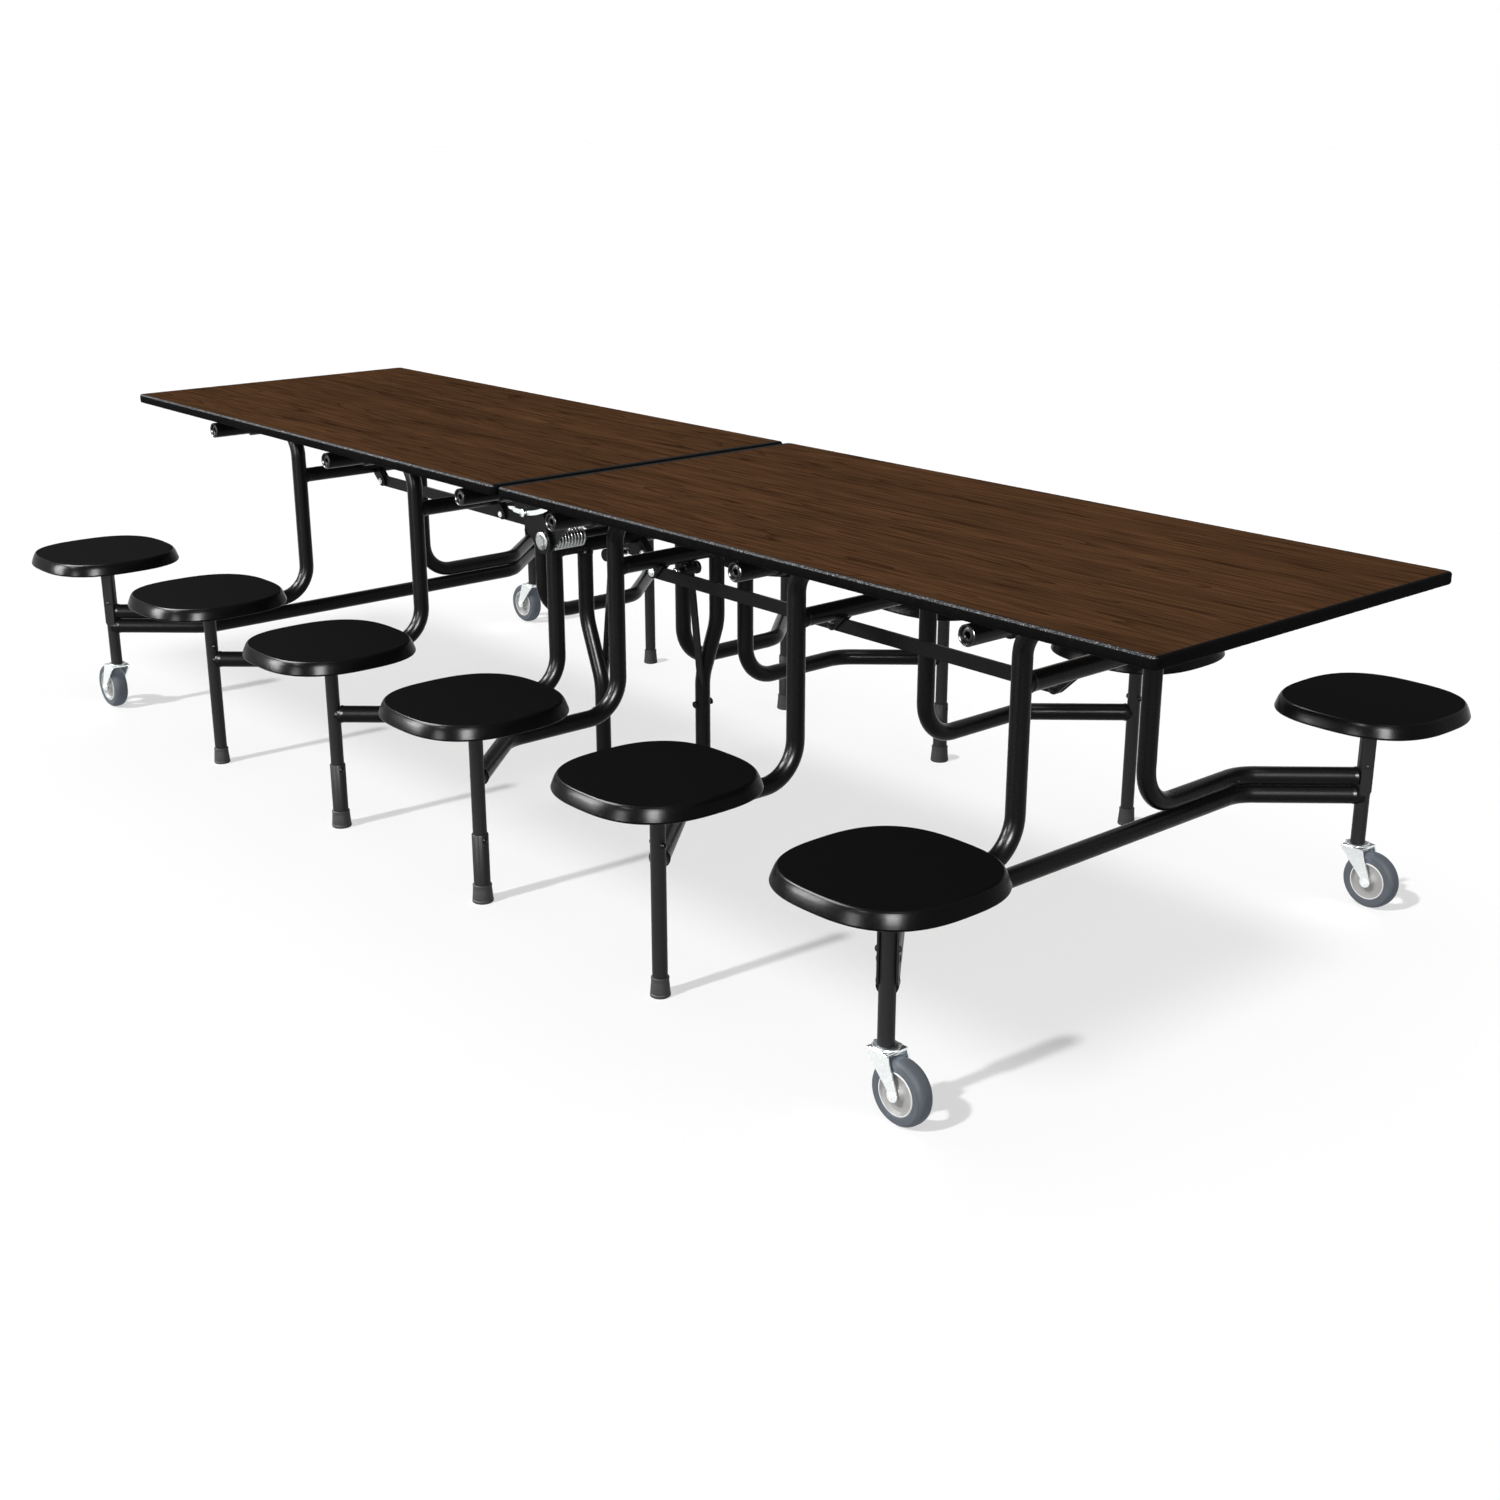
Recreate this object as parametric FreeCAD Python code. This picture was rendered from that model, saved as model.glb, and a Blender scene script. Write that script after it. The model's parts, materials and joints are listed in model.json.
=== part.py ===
"""Folding mobile table with twelve fixed stools.

Two tops meet at a low centre hinge. Each top rides on three welded tube frames, and each frame carries
two stools. A link bar keeps the frames upright while the tops fold. Units are millimetres; X runs along
the table, Z is up, and the origin is on the floor under the centre of the seam.
"""
import FreeCAD, Part
import math
import os

from FreeCAD import Vector

os.makedirs("parts", exist_ok=True)

# Overall sizes
TABLE_LENGTH = 3040.0
TABLE_WIDTH = 728.0
TABLE_HEIGHT = 686.0
TOP_THICKNESS = 20.0
SEAM_GAP = 12.0
EDGE_WIDTH = 7.0
CORNER_RADIUS = 12.0
EDGE_ROUND = 4.0

# Stool frames, given for the right half
INNER_FRAME_X = 100.0
FRAME_PITCH = 510.5
FRAME_NAMES = ("inner", "middle", "end")
TUBE_OD = 33.0
WELD_GAP = 0.05
POST_Y = 163.0
ARM_BEND_Y = 425.0
SEAT_Y = 590.0
SEAT_REACH = 150.0
ARM_Z = 232.0
END_ARM_Z = 236.0
LOWER_BAR_Z = 202.0
CROSS_DROP = 120.0
PLAN_BEND_RADIUS = 75.0
FLOOR_BEND_RADIUS = 72.0
NECK_BEND_RADIUS = 60.0

# Pivots under the top
PIVOT_REACH = 50.0
PIVOT_DROP = 26.0
PIVOT_OD = 33.4
PIVOT_BORE = 26.6
PIVOT_HALF_LENGTH = 346.0
SADDLE_PLACE = 0.42
SADDLE_WIDTH = 30.0
SADDLE_WALL = 4.0
SADDLE_FLANGE = 38.0
SADDLE_FLANGE_REACH = 75.0
TURN_CLEARANCE = 0.3

# Seats, posts and feet
SEAT_SIDE = 304.0
SEAT_POWER = 2.65
SEAT_TOP = 381.0
SEAT_BOTTOM = 355.0
SEAT_PLATE_DIAMETER = 130.0
SEAT_PLATE_THICKNESS = 4.0
POST_OD = 25.4
SLEEVE_OD = 31.5
SLEEVE_BOTTOM = 200.0
ADJUSTER_OD = 30.0
ADJUSTER_TOP = 130.0
FOOT_SOLE = 8.0
FOOT_HEIGHT = 34.0
FOOT_WALL = 2.0
FOOT_FLARE = 2.2

# Centre legs
CENTRE_LEG_Y = 88.0
CENTRE_LEG_SHIFT = 47.0
CENTRE_LEG_OD = 31.0
CENTRE_STRAIGHT = 151.0
CENTRE_BEND_DROP = 125.0
BRACE_WIDTH = 20.0
BRACE_THICKNESS = 4.0
BRACE_TOP_Y = 18.0
BRACE_LOW_Z = 187.0

# Link bars
LINK_Y = 45.0
LINK_INSET = 30.0
LINK_DROP = 33.0
LINK_HEIGHT = 25.0
LINK_THICKNESS = 6.0
LINK_PIN = 10.0
TAB_THICKNESS = 5.0
TAB_GAP = 0.5
PIN_HEAD = 18.0
PIN_HEAD_HEIGHT = 5.0

# Centre hinge
HINGE_DROP = 72.0
HINGE_PLATE = 5.0
HINGE_INNER_Y = 250.0
HINGE_OUTER_Y = 258.0
HINGE_KNUCKLE = 25.0
HINGE_ROOT_GAP = 2.0
HINGE_ROOT_DEPTH = 22.0
HINGE_FLANGE = 16.0
SHAFT_OD = 16.0
SHAFT_FIT = 0.1
SHAFT_END_Y = 261.0
SHAFT_HEAD_OD = 36.0
SHAFT_HEAD = 7.0

# Lift-assist springs
SPRING_WIRE = 5.0
SPRING_MEAN_RADIUS = 14.5
SPRING_TURNS = 10
SPRING_PITCH = 6.6
SPRING_FIRST_Y = 238.0

# Latch lever
LATCH_Y = 268.5
LATCH_THICKNESS = 4.0
LATCH_WIDTH = 9.0
LATCH_REACH = (-80.0, -45.0, 28.0)
LATCH_RISE = (49.5, 48.5, 67.0)
LATCH_PIN = 8.0

# Casters
WHEEL_OD = 101.6
WHEEL_WIDTH = 30.0
HUB_OD = 67.0
HUB_BORE = 10.2
AXLE_OD = 10.0
CASTER_TRAIL = 34.0
FORK_PLATE = 3.5
FORK_INSIDE = 36.0
FORK_BACK = 20.0
FORK_FRONT = 24.0
FORK_EYE = 10.0
CROWN_BOTTOM = 105.0
RACE_HEX = 23.0
RACE_RADIUS = 20.0
RACE_STEP = 110.0
CASTER_TOP = 112.0
STEM_OD = 12.0
STEM_LENGTH = 40.0
STEM_FIT = 0.1

HEX_ANGLES = [math.pi * step / 3 for step in range(6)]

UP = Vector(0, 0, 1)
ALONG_X = Vector(1, 0, 0)
ALONG_Y = Vector(0, 1, 0)
TUBE_R = TUBE_OD / 2

# Places that follow from the sizes above
TOP_UNDERSIDE = TABLE_HEIGHT - TOP_THICKNESS
PIVOT_Z = TOP_UNDERSIDE - PIVOT_DROP
POST_BEND_Z = PIVOT_Z - PIVOT_REACH
CROSS_Z = PIVOT_Z - CROSS_DROP
LINK_Z = CROSS_Z - LINK_DROP
HINGE_Z = PIVOT_Z - HINGE_DROP
HINGE_ROOT_X = INNER_FRAME_X + PIVOT_REACH - SADDLE_FLANGE - HINGE_ROOT_GAP
SADDLE_Y = POST_Y + (PIVOT_HALF_LENGTH - POST_Y) * SADDLE_PLACE
CENTRE_BEND_TOP = CROSS_Z - CENTRE_STRAIGHT
CENTRE_BEND_BOTTOM = CENTRE_BEND_TOP - CENTRE_BEND_DROP
LATCH_POINTS = [(x, HINGE_Z + rise) for x, rise in zip(LATCH_REACH, LATCH_RISE)]


def cylinder(radius, base, axis, length):
    """Round bar from a base point along an axis."""
    return Part.makeCylinder(radius, length, Vector(*base), axis)


def block(low, high):
    """Box between two opposite corners."""
    size = [b - a for a, b in zip(low, high)]
    return Part.makeBox(size[0], size[1], size[2], Vector(*low))


def rounded_path(points, radii):
    """Wire through the points, with an arc of the given radius at each inner point."""
    points = [Vector(*p) for p in points]
    edges = []
    start = points[0]
    for before, corner, after, radius in zip(points, points[1:], points[2:], radii):
        back = (before - corner).normalize()
        ahead = (after - corner).normalize()
        half = back.getAngle(ahead) / 2
        reach = radius / math.tan(half)
        middle = (back + ahead).normalize()
        into = corner + back * reach
        out = corner + ahead * reach
        crown = corner + middle * (radius / math.sin(half) - radius)
        edges.append(Part.makeLine(start, into))
        edges.append(Part.Arc(into, crown, out).toShape())
        start = out
    edges.append(Part.makeLine(start, points[-1]))
    return Part.Wire(edges)


def bent_bar(points, radii, diameter):
    """Round bar swept along a rounded path."""
    path = rounded_path(points, radii)
    first, second = Vector(*points[0]), Vector(*points[1])
    profile = Part.Wire(Part.makeCircle(diameter / 2, first, second - first))
    return path.makePipeShell([profile], True, False)


def plate_xz(outline, y_low, y_high):
    """Flat plate whose outline lies in the XZ plane."""
    corners = [Vector(x, y_low, z) for x, z in outline]
    face = Part.Face(Part.makePolygon(corners + corners[:1]))
    return face.extrude(ALONG_Y * (y_high - y_low))


def rounded_slab(x_low, x_high, half_width, z_low, z_high, radius):
    """Flat slab with rounded corners in plan."""
    slab = block((x_low, -half_width, z_low), (x_high, half_width, z_high))
    upright = [e for e in slab.Edges if abs(e.tangentAt(e.FirstParameter).z) > 0.9]
    return slab.makeFillet(radius, upright)


def frame_x(index):
    """Post plane of a frame on the right half."""
    return INNER_FRAME_X + index * FRAME_PITCH


def pivot_bar(index, radius):
    """Bar on a frame's pivot axis."""
    x = frame_x(index) + PIVOT_REACH
    return cylinder(radius, (x, -PIVOT_HALF_LENGTH, PIVOT_Z), ALONG_Y, 2 * PIVOT_HALF_LENGTH)


def seat_spot(index, side):
    """Plan position of a stool."""
    return frame_x(index) + SEAT_REACH, side * SEAT_Y


def arm_height(index):
    """Height of a frame's stool arms."""
    return END_ARM_Z if FRAME_NAMES[index] == "end" else ARM_Z


def post_radius(index):
    """Outer radius of a seat post where the arms meet it."""
    return (SLEEVE_OD if FRAME_NAMES[index] == "end" else POST_OD) / 2


def post_core(index, side):
    """Bar that the arms are shaped against at a stool."""
    x, y = seat_spot(index, side)
    return cylinder(post_radius(index), (x, y, 0), UP, SEAT_TOP)


def arm(index, side):
    """Bent tube: stool post, bend along the frame, up the post and out to the pivot tube."""
    x, z = frame_x(index), arm_height(index)
    seat_x, seat_y = seat_spot(index, side)
    points = (
        (seat_x, seat_y, z),
        (x, side * ARM_BEND_Y, z),
        (x, side * POST_Y, z),
        (x, side * POST_Y, POST_BEND_Z),
        (x + PIVOT_REACH, side * POST_Y, PIVOT_Z),
    )
    tube = bent_bar(points, (PLAN_BEND_RADIUS, FLOOR_BEND_RADIUS, NECK_BEND_RADIUS), TUBE_OD)
    return tube.cut(pivot_bar(index, PIVOT_OD / 2 + WELD_GAP)).cut(post_core(index, side))


def upright(index, side):
    """Straight post of an arm with the weld gap round it, for shaping the cross tube's ends."""
    return cylinder(TUBE_R + WELD_GAP, (frame_x(index), side * POST_Y, ARM_Z), UP, POST_BEND_Z - ARM_Z)


def cross_tube(index):
    """Tube between the posts, with the two tabs and the pin that the link bar turns on."""
    x = frame_x(index)
    tube = cylinder(TUBE_R, (x, -POST_Y, CROSS_Z), ALONG_Y, 2 * POST_Y)
    tube = tube.cut(upright(index, -1)).cut(upright(index, 1))
    pin_x = x - LINK_INSET
    reach = LINK_HEIGHT / 2
    outline = (
        (x, CROSS_Z + TUBE_R * 0.5),
        (pin_x - reach, LINK_Z + reach * 0.6),
        (pin_x - reach, LINK_Z - reach),
        (pin_x + reach, LINK_Z - reach),
        (x + TUBE_R * 0.6, CROSS_Z - TUBE_R * 0.6),
    )
    inside = LINK_THICKNESS / 2 + TAB_GAP
    outside = inside + TAB_THICKNESS
    near_tab = plate_xz(outline, -LINK_Y - outside, -LINK_Y - inside)
    far_tab = plate_xz(outline, -LINK_Y + inside, -LINK_Y + outside)
    pin = cylinder(LINK_PIN / 2, (pin_x, -LINK_Y - outside, LINK_Z), ALONG_Y, 2 * outside)
    head_low = -LINK_Y - outside - PIN_HEAD_HEIGHT
    head = cylinder(PIN_HEAD / 2, (pin_x, head_low, LINK_Z), ALONG_Y, PIN_HEAD_HEIGHT)
    return tube.fuse([near_tab, far_tab, pin, head]).removeSplitter()


def link_bar():
    """Flat bar joining the three link pins of a half."""
    reach = LINK_HEIGHT / 2
    first = frame_x(0) - LINK_INSET
    last = frame_x(2) - LINK_INSET
    low = -LINK_Y - LINK_THICKNESS / 2
    bar = block((first, low, LINK_Z - reach), (last, low + LINK_THICKNESS, LINK_Z + reach))
    ends = [cylinder(reach, (x, low, LINK_Z), ALONG_Y, LINK_THICKNESS) for x in (first, last)]
    bar = bar.fuse(ends).removeSplitter()
    for index in range(3):
        hole = cylinder(LINK_PIN / 2 + SHAFT_FIT, (frame_x(index) - LINK_INSET, low - 1, LINK_Z), ALONG_Y, 20)
        bar = bar.cut(hole)
    return bar


def pivot_tube(index):
    """Open tube that the frame swings on."""
    return pivot_bar(index, PIVOT_OD / 2).cut(pivot_bar(index, PIVOT_BORE / 2))


def saddle(index, side):
    """Block under the top with the bore that a pivot tube turns in."""
    x = frame_x(index) + PIVOT_REACH
    bore = PIVOT_OD / 2 + TURN_CLEARANCE
    wall = bore + SADDLE_WALL
    low = side * SADDLE_Y - SADDLE_WIDTH / 2
    body = cylinder(wall, (x, low, PIVOT_Z), ALONG_Y, SADDLE_WIDTH)
    neck = block((x - wall, low, PIVOT_Z), (x + wall, low + SADDLE_WIDTH, TOP_UNDERSIDE))
    inner = side * (SADDLE_Y - SADDLE_WIDTH / 2)
    outer = side * (SADDLE_Y + SADDLE_FLANGE_REACH)
    flange = block(
        (x - SADDLE_FLANGE, min(inner, outer), TOP_UNDERSIDE - SADDLE_WALL),
        (x + SADDLE_FLANGE, max(inner, outer), TOP_UNDERSIDE),
    )
    hole = cylinder(bore, (x, low - 1, PIVOT_Z), ALONG_Y, SADDLE_WIDTH + 2)
    return body.fuse([neck, flange]).removeSplitter().cut(hole)


def seat_post(index, side):
    """Stool post with its seat plate, and a caster bore or an adjuster sleeve below."""
    x, y = seat_spot(index, side)
    name = FRAME_NAMES[index]
    plate_low = SEAT_BOTTOM - SEAT_PLATE_THICKNESS
    plate = cylinder(SEAT_PLATE_DIAMETER / 2, (x, y, plate_low), UP, SEAT_PLATE_THICKNESS)
    low = CASTER_TOP if name == "end" else FOOT_SOLE
    pieces = [cylinder(POST_OD / 2, (x, y, low), UP, plate_low - low)]
    if name == "end":
        pieces.append(cylinder(SLEEVE_OD / 2, (x, y, SLEEVE_BOTTOM), UP, plate_low - SLEEVE_BOTTOM))
    if name == "inner":
        pieces.append(cylinder(ADJUSTER_OD / 2, (x, y, FOOT_SOLE), UP, ADJUSTER_TOP - FOOT_SOLE))
    post = plate.fuse(pieces).removeSplitter()
    if name == "end":
        post = post.cut(cylinder(STEM_OD / 2 + STEM_FIT, (x, y, CASTER_TOP), UP, STEM_LENGTH + 1))
    return post


def seat_outline(scale, x, y, z):
    """Closed curve of a rounded square: |u|^n + |v|^n = 1 in plan."""
    points = []
    for step in range(32):
        angle = 2 * math.pi * (step + 0.5) / 32
        c, s = math.cos(angle), math.sin(angle)
        radius = (abs(c) ** SEAT_POWER + abs(s) ** SEAT_POWER) ** (-1 / SEAT_POWER)
        reach = scale * SEAT_SIDE / 2 * radius
        points.append(Vector(x + reach * c, y + reach * s, z))
    curve = Part.BSplineCurve()
    curve.interpolate(points, PeriodicFlag=True)
    return Part.Wire(curve.toShape())


def seat(index, side):
    """Moulded stool seat, widest low down, with a soft upper edge."""
    x, y = seat_spot(index, side)
    depth = SEAT_TOP - SEAT_BOTTOM
    rings = ((0.97, 0.0), (1.0, 0.13), (0.987, 0.4), (0.967, 0.7), (0.95, 0.88), (0.922, 1.0))
    sections = [seat_outline(scale, x, y, SEAT_BOTTOM + share * depth) for scale, share in rings]
    return Part.makeLoft(sections, True, True)


def foot(x, y, leg_diameter):
    """Rubber foot with a pocket for the leg."""
    top_radius = leg_diameter / 2 + FOOT_WALL
    body = Part.makeCone(top_radius + FOOT_FLARE, top_radius, FOOT_HEIGHT, Vector(x, y, 0))
    pocket = cylinder(leg_diameter / 2, (x, y, FOOT_SOLE), UP, FOOT_HEIGHT)
    return body.cut(pocket)


def lower_bar():
    """Second bar across an end frame, just under its arms."""
    index = FRAME_NAMES.index("end")
    x = frame_x(index)
    seat_x = x + SEAT_REACH
    points = (
        (seat_x, -SEAT_Y, LOWER_BAR_Z),
        (x, -ARM_BEND_Y, LOWER_BAR_Z),
        (x, ARM_BEND_Y, LOWER_BAR_Z),
        (seat_x, SEAT_Y, LOWER_BAR_Z),
    )
    bar = bent_bar(points, (PLAN_BEND_RADIUS, PLAN_BEND_RADIUS), TUBE_OD)
    for side in (-1, 1):
        bar = bar.cut(post_core(index, side))
    return bar


def centre_leg():
    """S-bent leg hung from the inner cross tube, and its diagonal brace."""
    x, y = frame_x(0), CENTRE_LEG_Y
    low_x = x - CENTRE_LEG_SHIFT
    points = (
        (x, y, CROSS_Z),
        (x, y, CENTRE_BEND_TOP),
        (low_x, y, CENTRE_BEND_BOTTOM),
        (low_x, y, FOOT_SOLE),
    )
    rail = cylinder(TUBE_R, (x, -POST_Y, CROSS_Z), ALONG_Y, 2 * POST_Y)
    leg = bent_bar(points, (PLAN_BEND_RADIUS * 1.6,) * 2, CENTRE_LEG_OD).cut(rail)
    top = Vector(x, BRACE_TOP_Y, CROSS_Z)
    low = Vector(low_x, y, BRACE_LOW_Z)
    run = low - top
    strip = Part.makeBox(BRACE_WIDTH, BRACE_THICKNESS, run.Length)
    strip.translate(Vector(-BRACE_WIDTH / 2, -BRACE_THICKNESS / 2, 0))
    strip.Placement = FreeCAD.Placement(top, FreeCAD.Rotation(UP, run)).multiply(strip.Placement)
    return [leg, strip.cut(rail).cut(leg).Solids[0]]


def top_solids():
    """Panel and moulded edge of one top, with its underside flat."""
    x_low, x_high = SEAM_GAP / 2, TABLE_LENGTH / 2
    half = TABLE_WIDTH / 2
    outer = rounded_slab(x_low, x_high, half, TOP_UNDERSIDE, TABLE_HEIGHT, CORNER_RADIUS)
    rims = [e for e in outer.Edges if abs(e.CenterOfMass.z - (TOP_UNDERSIDE + TABLE_HEIGHT) / 2) > 5]
    outer = outer.makeFillet(EDGE_ROUND, rims)
    panel = rounded_slab(
        x_low + EDGE_WIDTH,
        x_high - EDGE_WIDTH,
        half - EDGE_WIDTH,
        TOP_UNDERSIDE,
        TABLE_HEIGHT,
        CORNER_RADIUS - EDGE_WIDTH,
    )
    return panel, outer.cut(panel)


def hinge_plate(y, flange_way):
    """Plate hung under a top, with the knuckle of the centre hinge and a screwed flange."""
    low, high = y - HINGE_PLATE / 2, y + HINGE_PLATE / 2
    outline = (
        (SEAM_GAP, TOP_UNDERSIDE),
        (HINGE_ROOT_X, TOP_UNDERSIDE),
        (HINGE_ROOT_X, TOP_UNDERSIDE - HINGE_ROOT_DEPTH),
        (HINGE_KNUCKLE * 0.8, HINGE_Z - HINGE_KNUCKLE * 0.6),
        (-HINGE_KNUCKLE * 0.8, HINGE_Z + HINGE_KNUCKLE * 0.6),
    )
    plate = plate_xz(outline, low, high)
    knuckle = cylinder(HINGE_KNUCKLE, (0, low, HINGE_Z), ALONG_Y, HINGE_PLATE)
    edge = high if flange_way > 0 else low
    reach = edge + flange_way * HINGE_FLANGE
    flange = block(
        (SEAM_GAP, min(edge, reach), TOP_UNDERSIDE - HINGE_PLATE),
        (HINGE_ROOT_X, max(edge, reach), TOP_UNDERSIDE),
    )
    return plate.fuse([knuckle, flange]).removeSplitter()


def hinge_plates(bore):
    """The two plates of one half: the inner one on its near side, the outer one on its far side."""
    plates = [hinge_plate(-HINGE_INNER_Y, 1), hinge_plate(HINGE_OUTER_Y, 1)]
    hole = cylinder(bore / 2, (0, -TABLE_WIDTH, HINGE_Z), ALONG_Y, 2 * TABLE_WIDTH)
    return [plate.cut(hole) for plate in plates]


def hinge_shaft():
    """Shaft across both hinges, with a flanged bolt head at each end."""
    shaft = cylinder(SHAFT_OD / 2, (0, -SHAFT_END_Y, HINGE_Z), ALONG_Y, 2 * SHAFT_END_Y)
    heads = []
    for side in (-1, 1):
        heads.append(cylinder(SHAFT_HEAD_OD / 2, (0, side * SHAFT_END_Y, HINGE_Z), ALONG_Y * side, 2.5))
        heads.append(cylinder(SHAFT_HEAD_OD * 0.33, (0, side * SHAFT_END_Y, HINGE_Z), ALONG_Y * side, SHAFT_HEAD))
    return shaft.fuse(heads).removeSplitter()


def spring_points(side, per_turn):
    """Centre line of a spring: angle grows evenly while the coil moves along the shaft."""
    points = []
    for step in range(SPRING_TURNS * per_turn + 1):
        turn = step / per_turn
        angle = 2 * math.pi * turn
        y = side * (SPRING_FIRST_Y - SPRING_PITCH * turn)
        x = SPRING_MEAN_RADIUS * math.cos(angle)
        z = HINGE_Z + SPRING_MEAN_RADIUS * math.sin(angle)
        points.append(Vector(side * x, y, z))
    return points


def spring_self_gap():
    """Least space between turns, measured on points half a turn or more apart."""
    per_turn = 48
    points = spring_points(-1, per_turn)
    far = per_turn // 2
    least = min(a.distanceToPoint(b) for i, a in enumerate(points) for b in points[i + far:])
    return least - SPRING_WIRE


def spring(side):
    """Torsion spring: quarter-turn arcs, with a straight leg up to the top that it lifts."""
    points = spring_points(side, 8)
    edges = []
    for i in range(0, len(points) - 2, 2):
        edges.append(Part.Arc(points[i], points[i + 1], points[i + 2]).toShape())
    first, last = edges[0], edges[-1]
    leg_top = TOP_UNDERSIDE - TURN_CLEARANCE
    out_dir = first.tangentAt(first.FirstParameter) * -1
    end_dir = last.tangentAt(last.LastParameter)
    start = points[0] + out_dir * SPRING_WIRE
    end = points[-1] + end_dir * ((leg_top - points[-1].z) / end_dir.z)
    path = Part.Wire([Part.makeLine(start, points[0])] + edges + [Part.makeLine(points[-1], end)])
    profile = Part.Wire(Part.makeCircle(SPRING_WIRE / 2, start, out_dir))
    return path.makePipeShell([profile], True, False)


def latch_lever():
    """Curved release lever on the near left hinge plate."""
    low, middle, high = [Vector(x, -LATCH_Y, z) for x, z in LATCH_POINTS]
    circle = Part.Arc(low, middle, high).toShape().Curve
    centre, radius = circle.Center, circle.Radius
    half = LATCH_WIDTH / 2
    ring = cylinder(radius + half, (centre.x, -LATCH_Y, centre.z), ALONG_Y, LATCH_THICKNESS)
    ring = ring.cut(cylinder(radius - half, (centre.x, -LATCH_Y, centre.z), ALONG_Y, LATCH_THICKNESS))
    wedge = Part.Face(Part.makePolygon([centre, low + (low - centre), high + (high - centre), centre]))
    lever = ring.common(wedge.extrude(ALONG_Y * LATCH_THICKNESS))
    ends = [cylinder(half, (p.x, -LATCH_Y, p.z), ALONG_Y, LATCH_THICKNESS) for p in (low, high)]
    lever = lever.fuse(ends).removeSplitter()
    bore = cylinder(LATCH_PIN / 2 + SHAFT_FIT, (middle.x, -LATCH_Y - 1, middle.z), ALONG_Y, LATCH_THICKNESS + 2)
    return lever.cut(bore)


def latch_pin():
    """Headed pin on the hinge plate that the lever turns on."""
    x, z = LATCH_POINTS[1]
    start = -LATCH_Y - TAB_GAP
    shank = cylinder(LATCH_PIN / 2, (x, start, z), ALONG_Y, -HINGE_OUTER_Y - start)
    head = cylinder(LATCH_PIN, (x, start - PIN_HEAD_HEIGHT, z), ALONG_Y, PIN_HEAD_HEIGHT)
    return shank.fuse(head)


def caster_fork(side):
    """Swivel fork with tapered legs, its two-step race and stem, and the fixed axle."""
    index = FRAME_NAMES.index("end")
    x, y = seat_spot(index, side)
    race_top = CASTER_TOP - TURN_CLEARANCE
    shelf_top = CROWN_BOTTOM + FORK_PLATE
    axle_x, axle_z = x + CASTER_TRAIL, WHEEL_OD / 2
    inside = FORK_INSIDE / 2
    outline = (
        (x - FORK_BACK, shelf_top),
        (x + FORK_FRONT, shelf_top),
        (axle_x + FORK_EYE, axle_z),
        (axle_x - FORK_EYE, axle_z),
    )
    corners = [Vector(x, y, shelf_top) + Vector(math.cos(a), math.sin(a), 0) * RACE_HEX for a in HEX_ANGLES]
    hexagon = Part.Face(Part.makePolygon(corners + corners[:1])).extrude(UP * (RACE_STEP - shelf_top))
    pieces = [hexagon, cylinder(RACE_RADIUS, (x, y, RACE_STEP), UP, race_top - RACE_STEP)]
    pieces.append(cylinder(STEM_OD / 2, (x, y, race_top), UP, STEM_LENGTH))
    for way in (-1, 1):
        low = min(y + way * inside, y + way * (inside + FORK_PLATE))
        pieces.append(plate_xz(outline, low, low + FORK_PLATE))
        pieces.append(cylinder(FORK_EYE, (axle_x, low, axle_z), ALONG_Y, FORK_PLATE))
    shelf = block((x - FORK_BACK, y - inside, CROWN_BOTTOM), (x + FORK_FRONT, y + inside, shelf_top))
    fork = shelf.fuse(pieces).removeSplitter()
    reach = inside + FORK_PLATE + 5
    axle = cylinder(AXLE_OD / 2, (axle_x, y - reach, axle_z), ALONG_Y, 2 * reach)
    return [fork.cut(axle), axle]


def wheel_ring(profile, centre):
    """Ring turned about the axle from a half section of radius and offset along the axle."""
    half = profile + [(radius, -offset) for radius, offset in reversed(profile)]
    corners = [centre + Vector(radius, offset, 0) for radius, offset in half]
    return Part.Face(Part.makePolygon(corners + corners[:1])).revolve(centre, ALONG_Y, 360)


def caster_wheel(side):
    """Hub with its bore and recessed web, and the tyre round it."""
    index = FRAME_NAMES.index("end")
    x, y = seat_spot(index, side)
    centre = Vector(x + CASTER_TRAIL, y, WHEEL_OD / 2)
    half, rim, tread = WHEEL_WIDTH / 2, HUB_OD / 2, WHEEL_OD / 2
    bore = HUB_BORE / 2
    hub = wheel_ring(
        [
            (bore, half),
            (bore + 6, half),
            (bore + 8, half * 0.5),
            (rim - 6, half * 0.4),
            (rim - 4, half * 0.9),
            (rim, half * 0.9),
        ],
        centre,
    )
    tyre = wheel_ring(
        [
            (rim, half * 0.9),
            (rim + 2, half),
            (tread - 6, half),
            (tread - 5, half * 0.88),
            (tread - 1.5, half * 0.62),
            (tread, half * 0.3),
        ],
        centre,
    )
    return [hub, tyre]


def both(maker, *args):
    """The near and the far piece of a pair."""
    return [maker(*args, -1), maker(*args, 1)]


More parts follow.
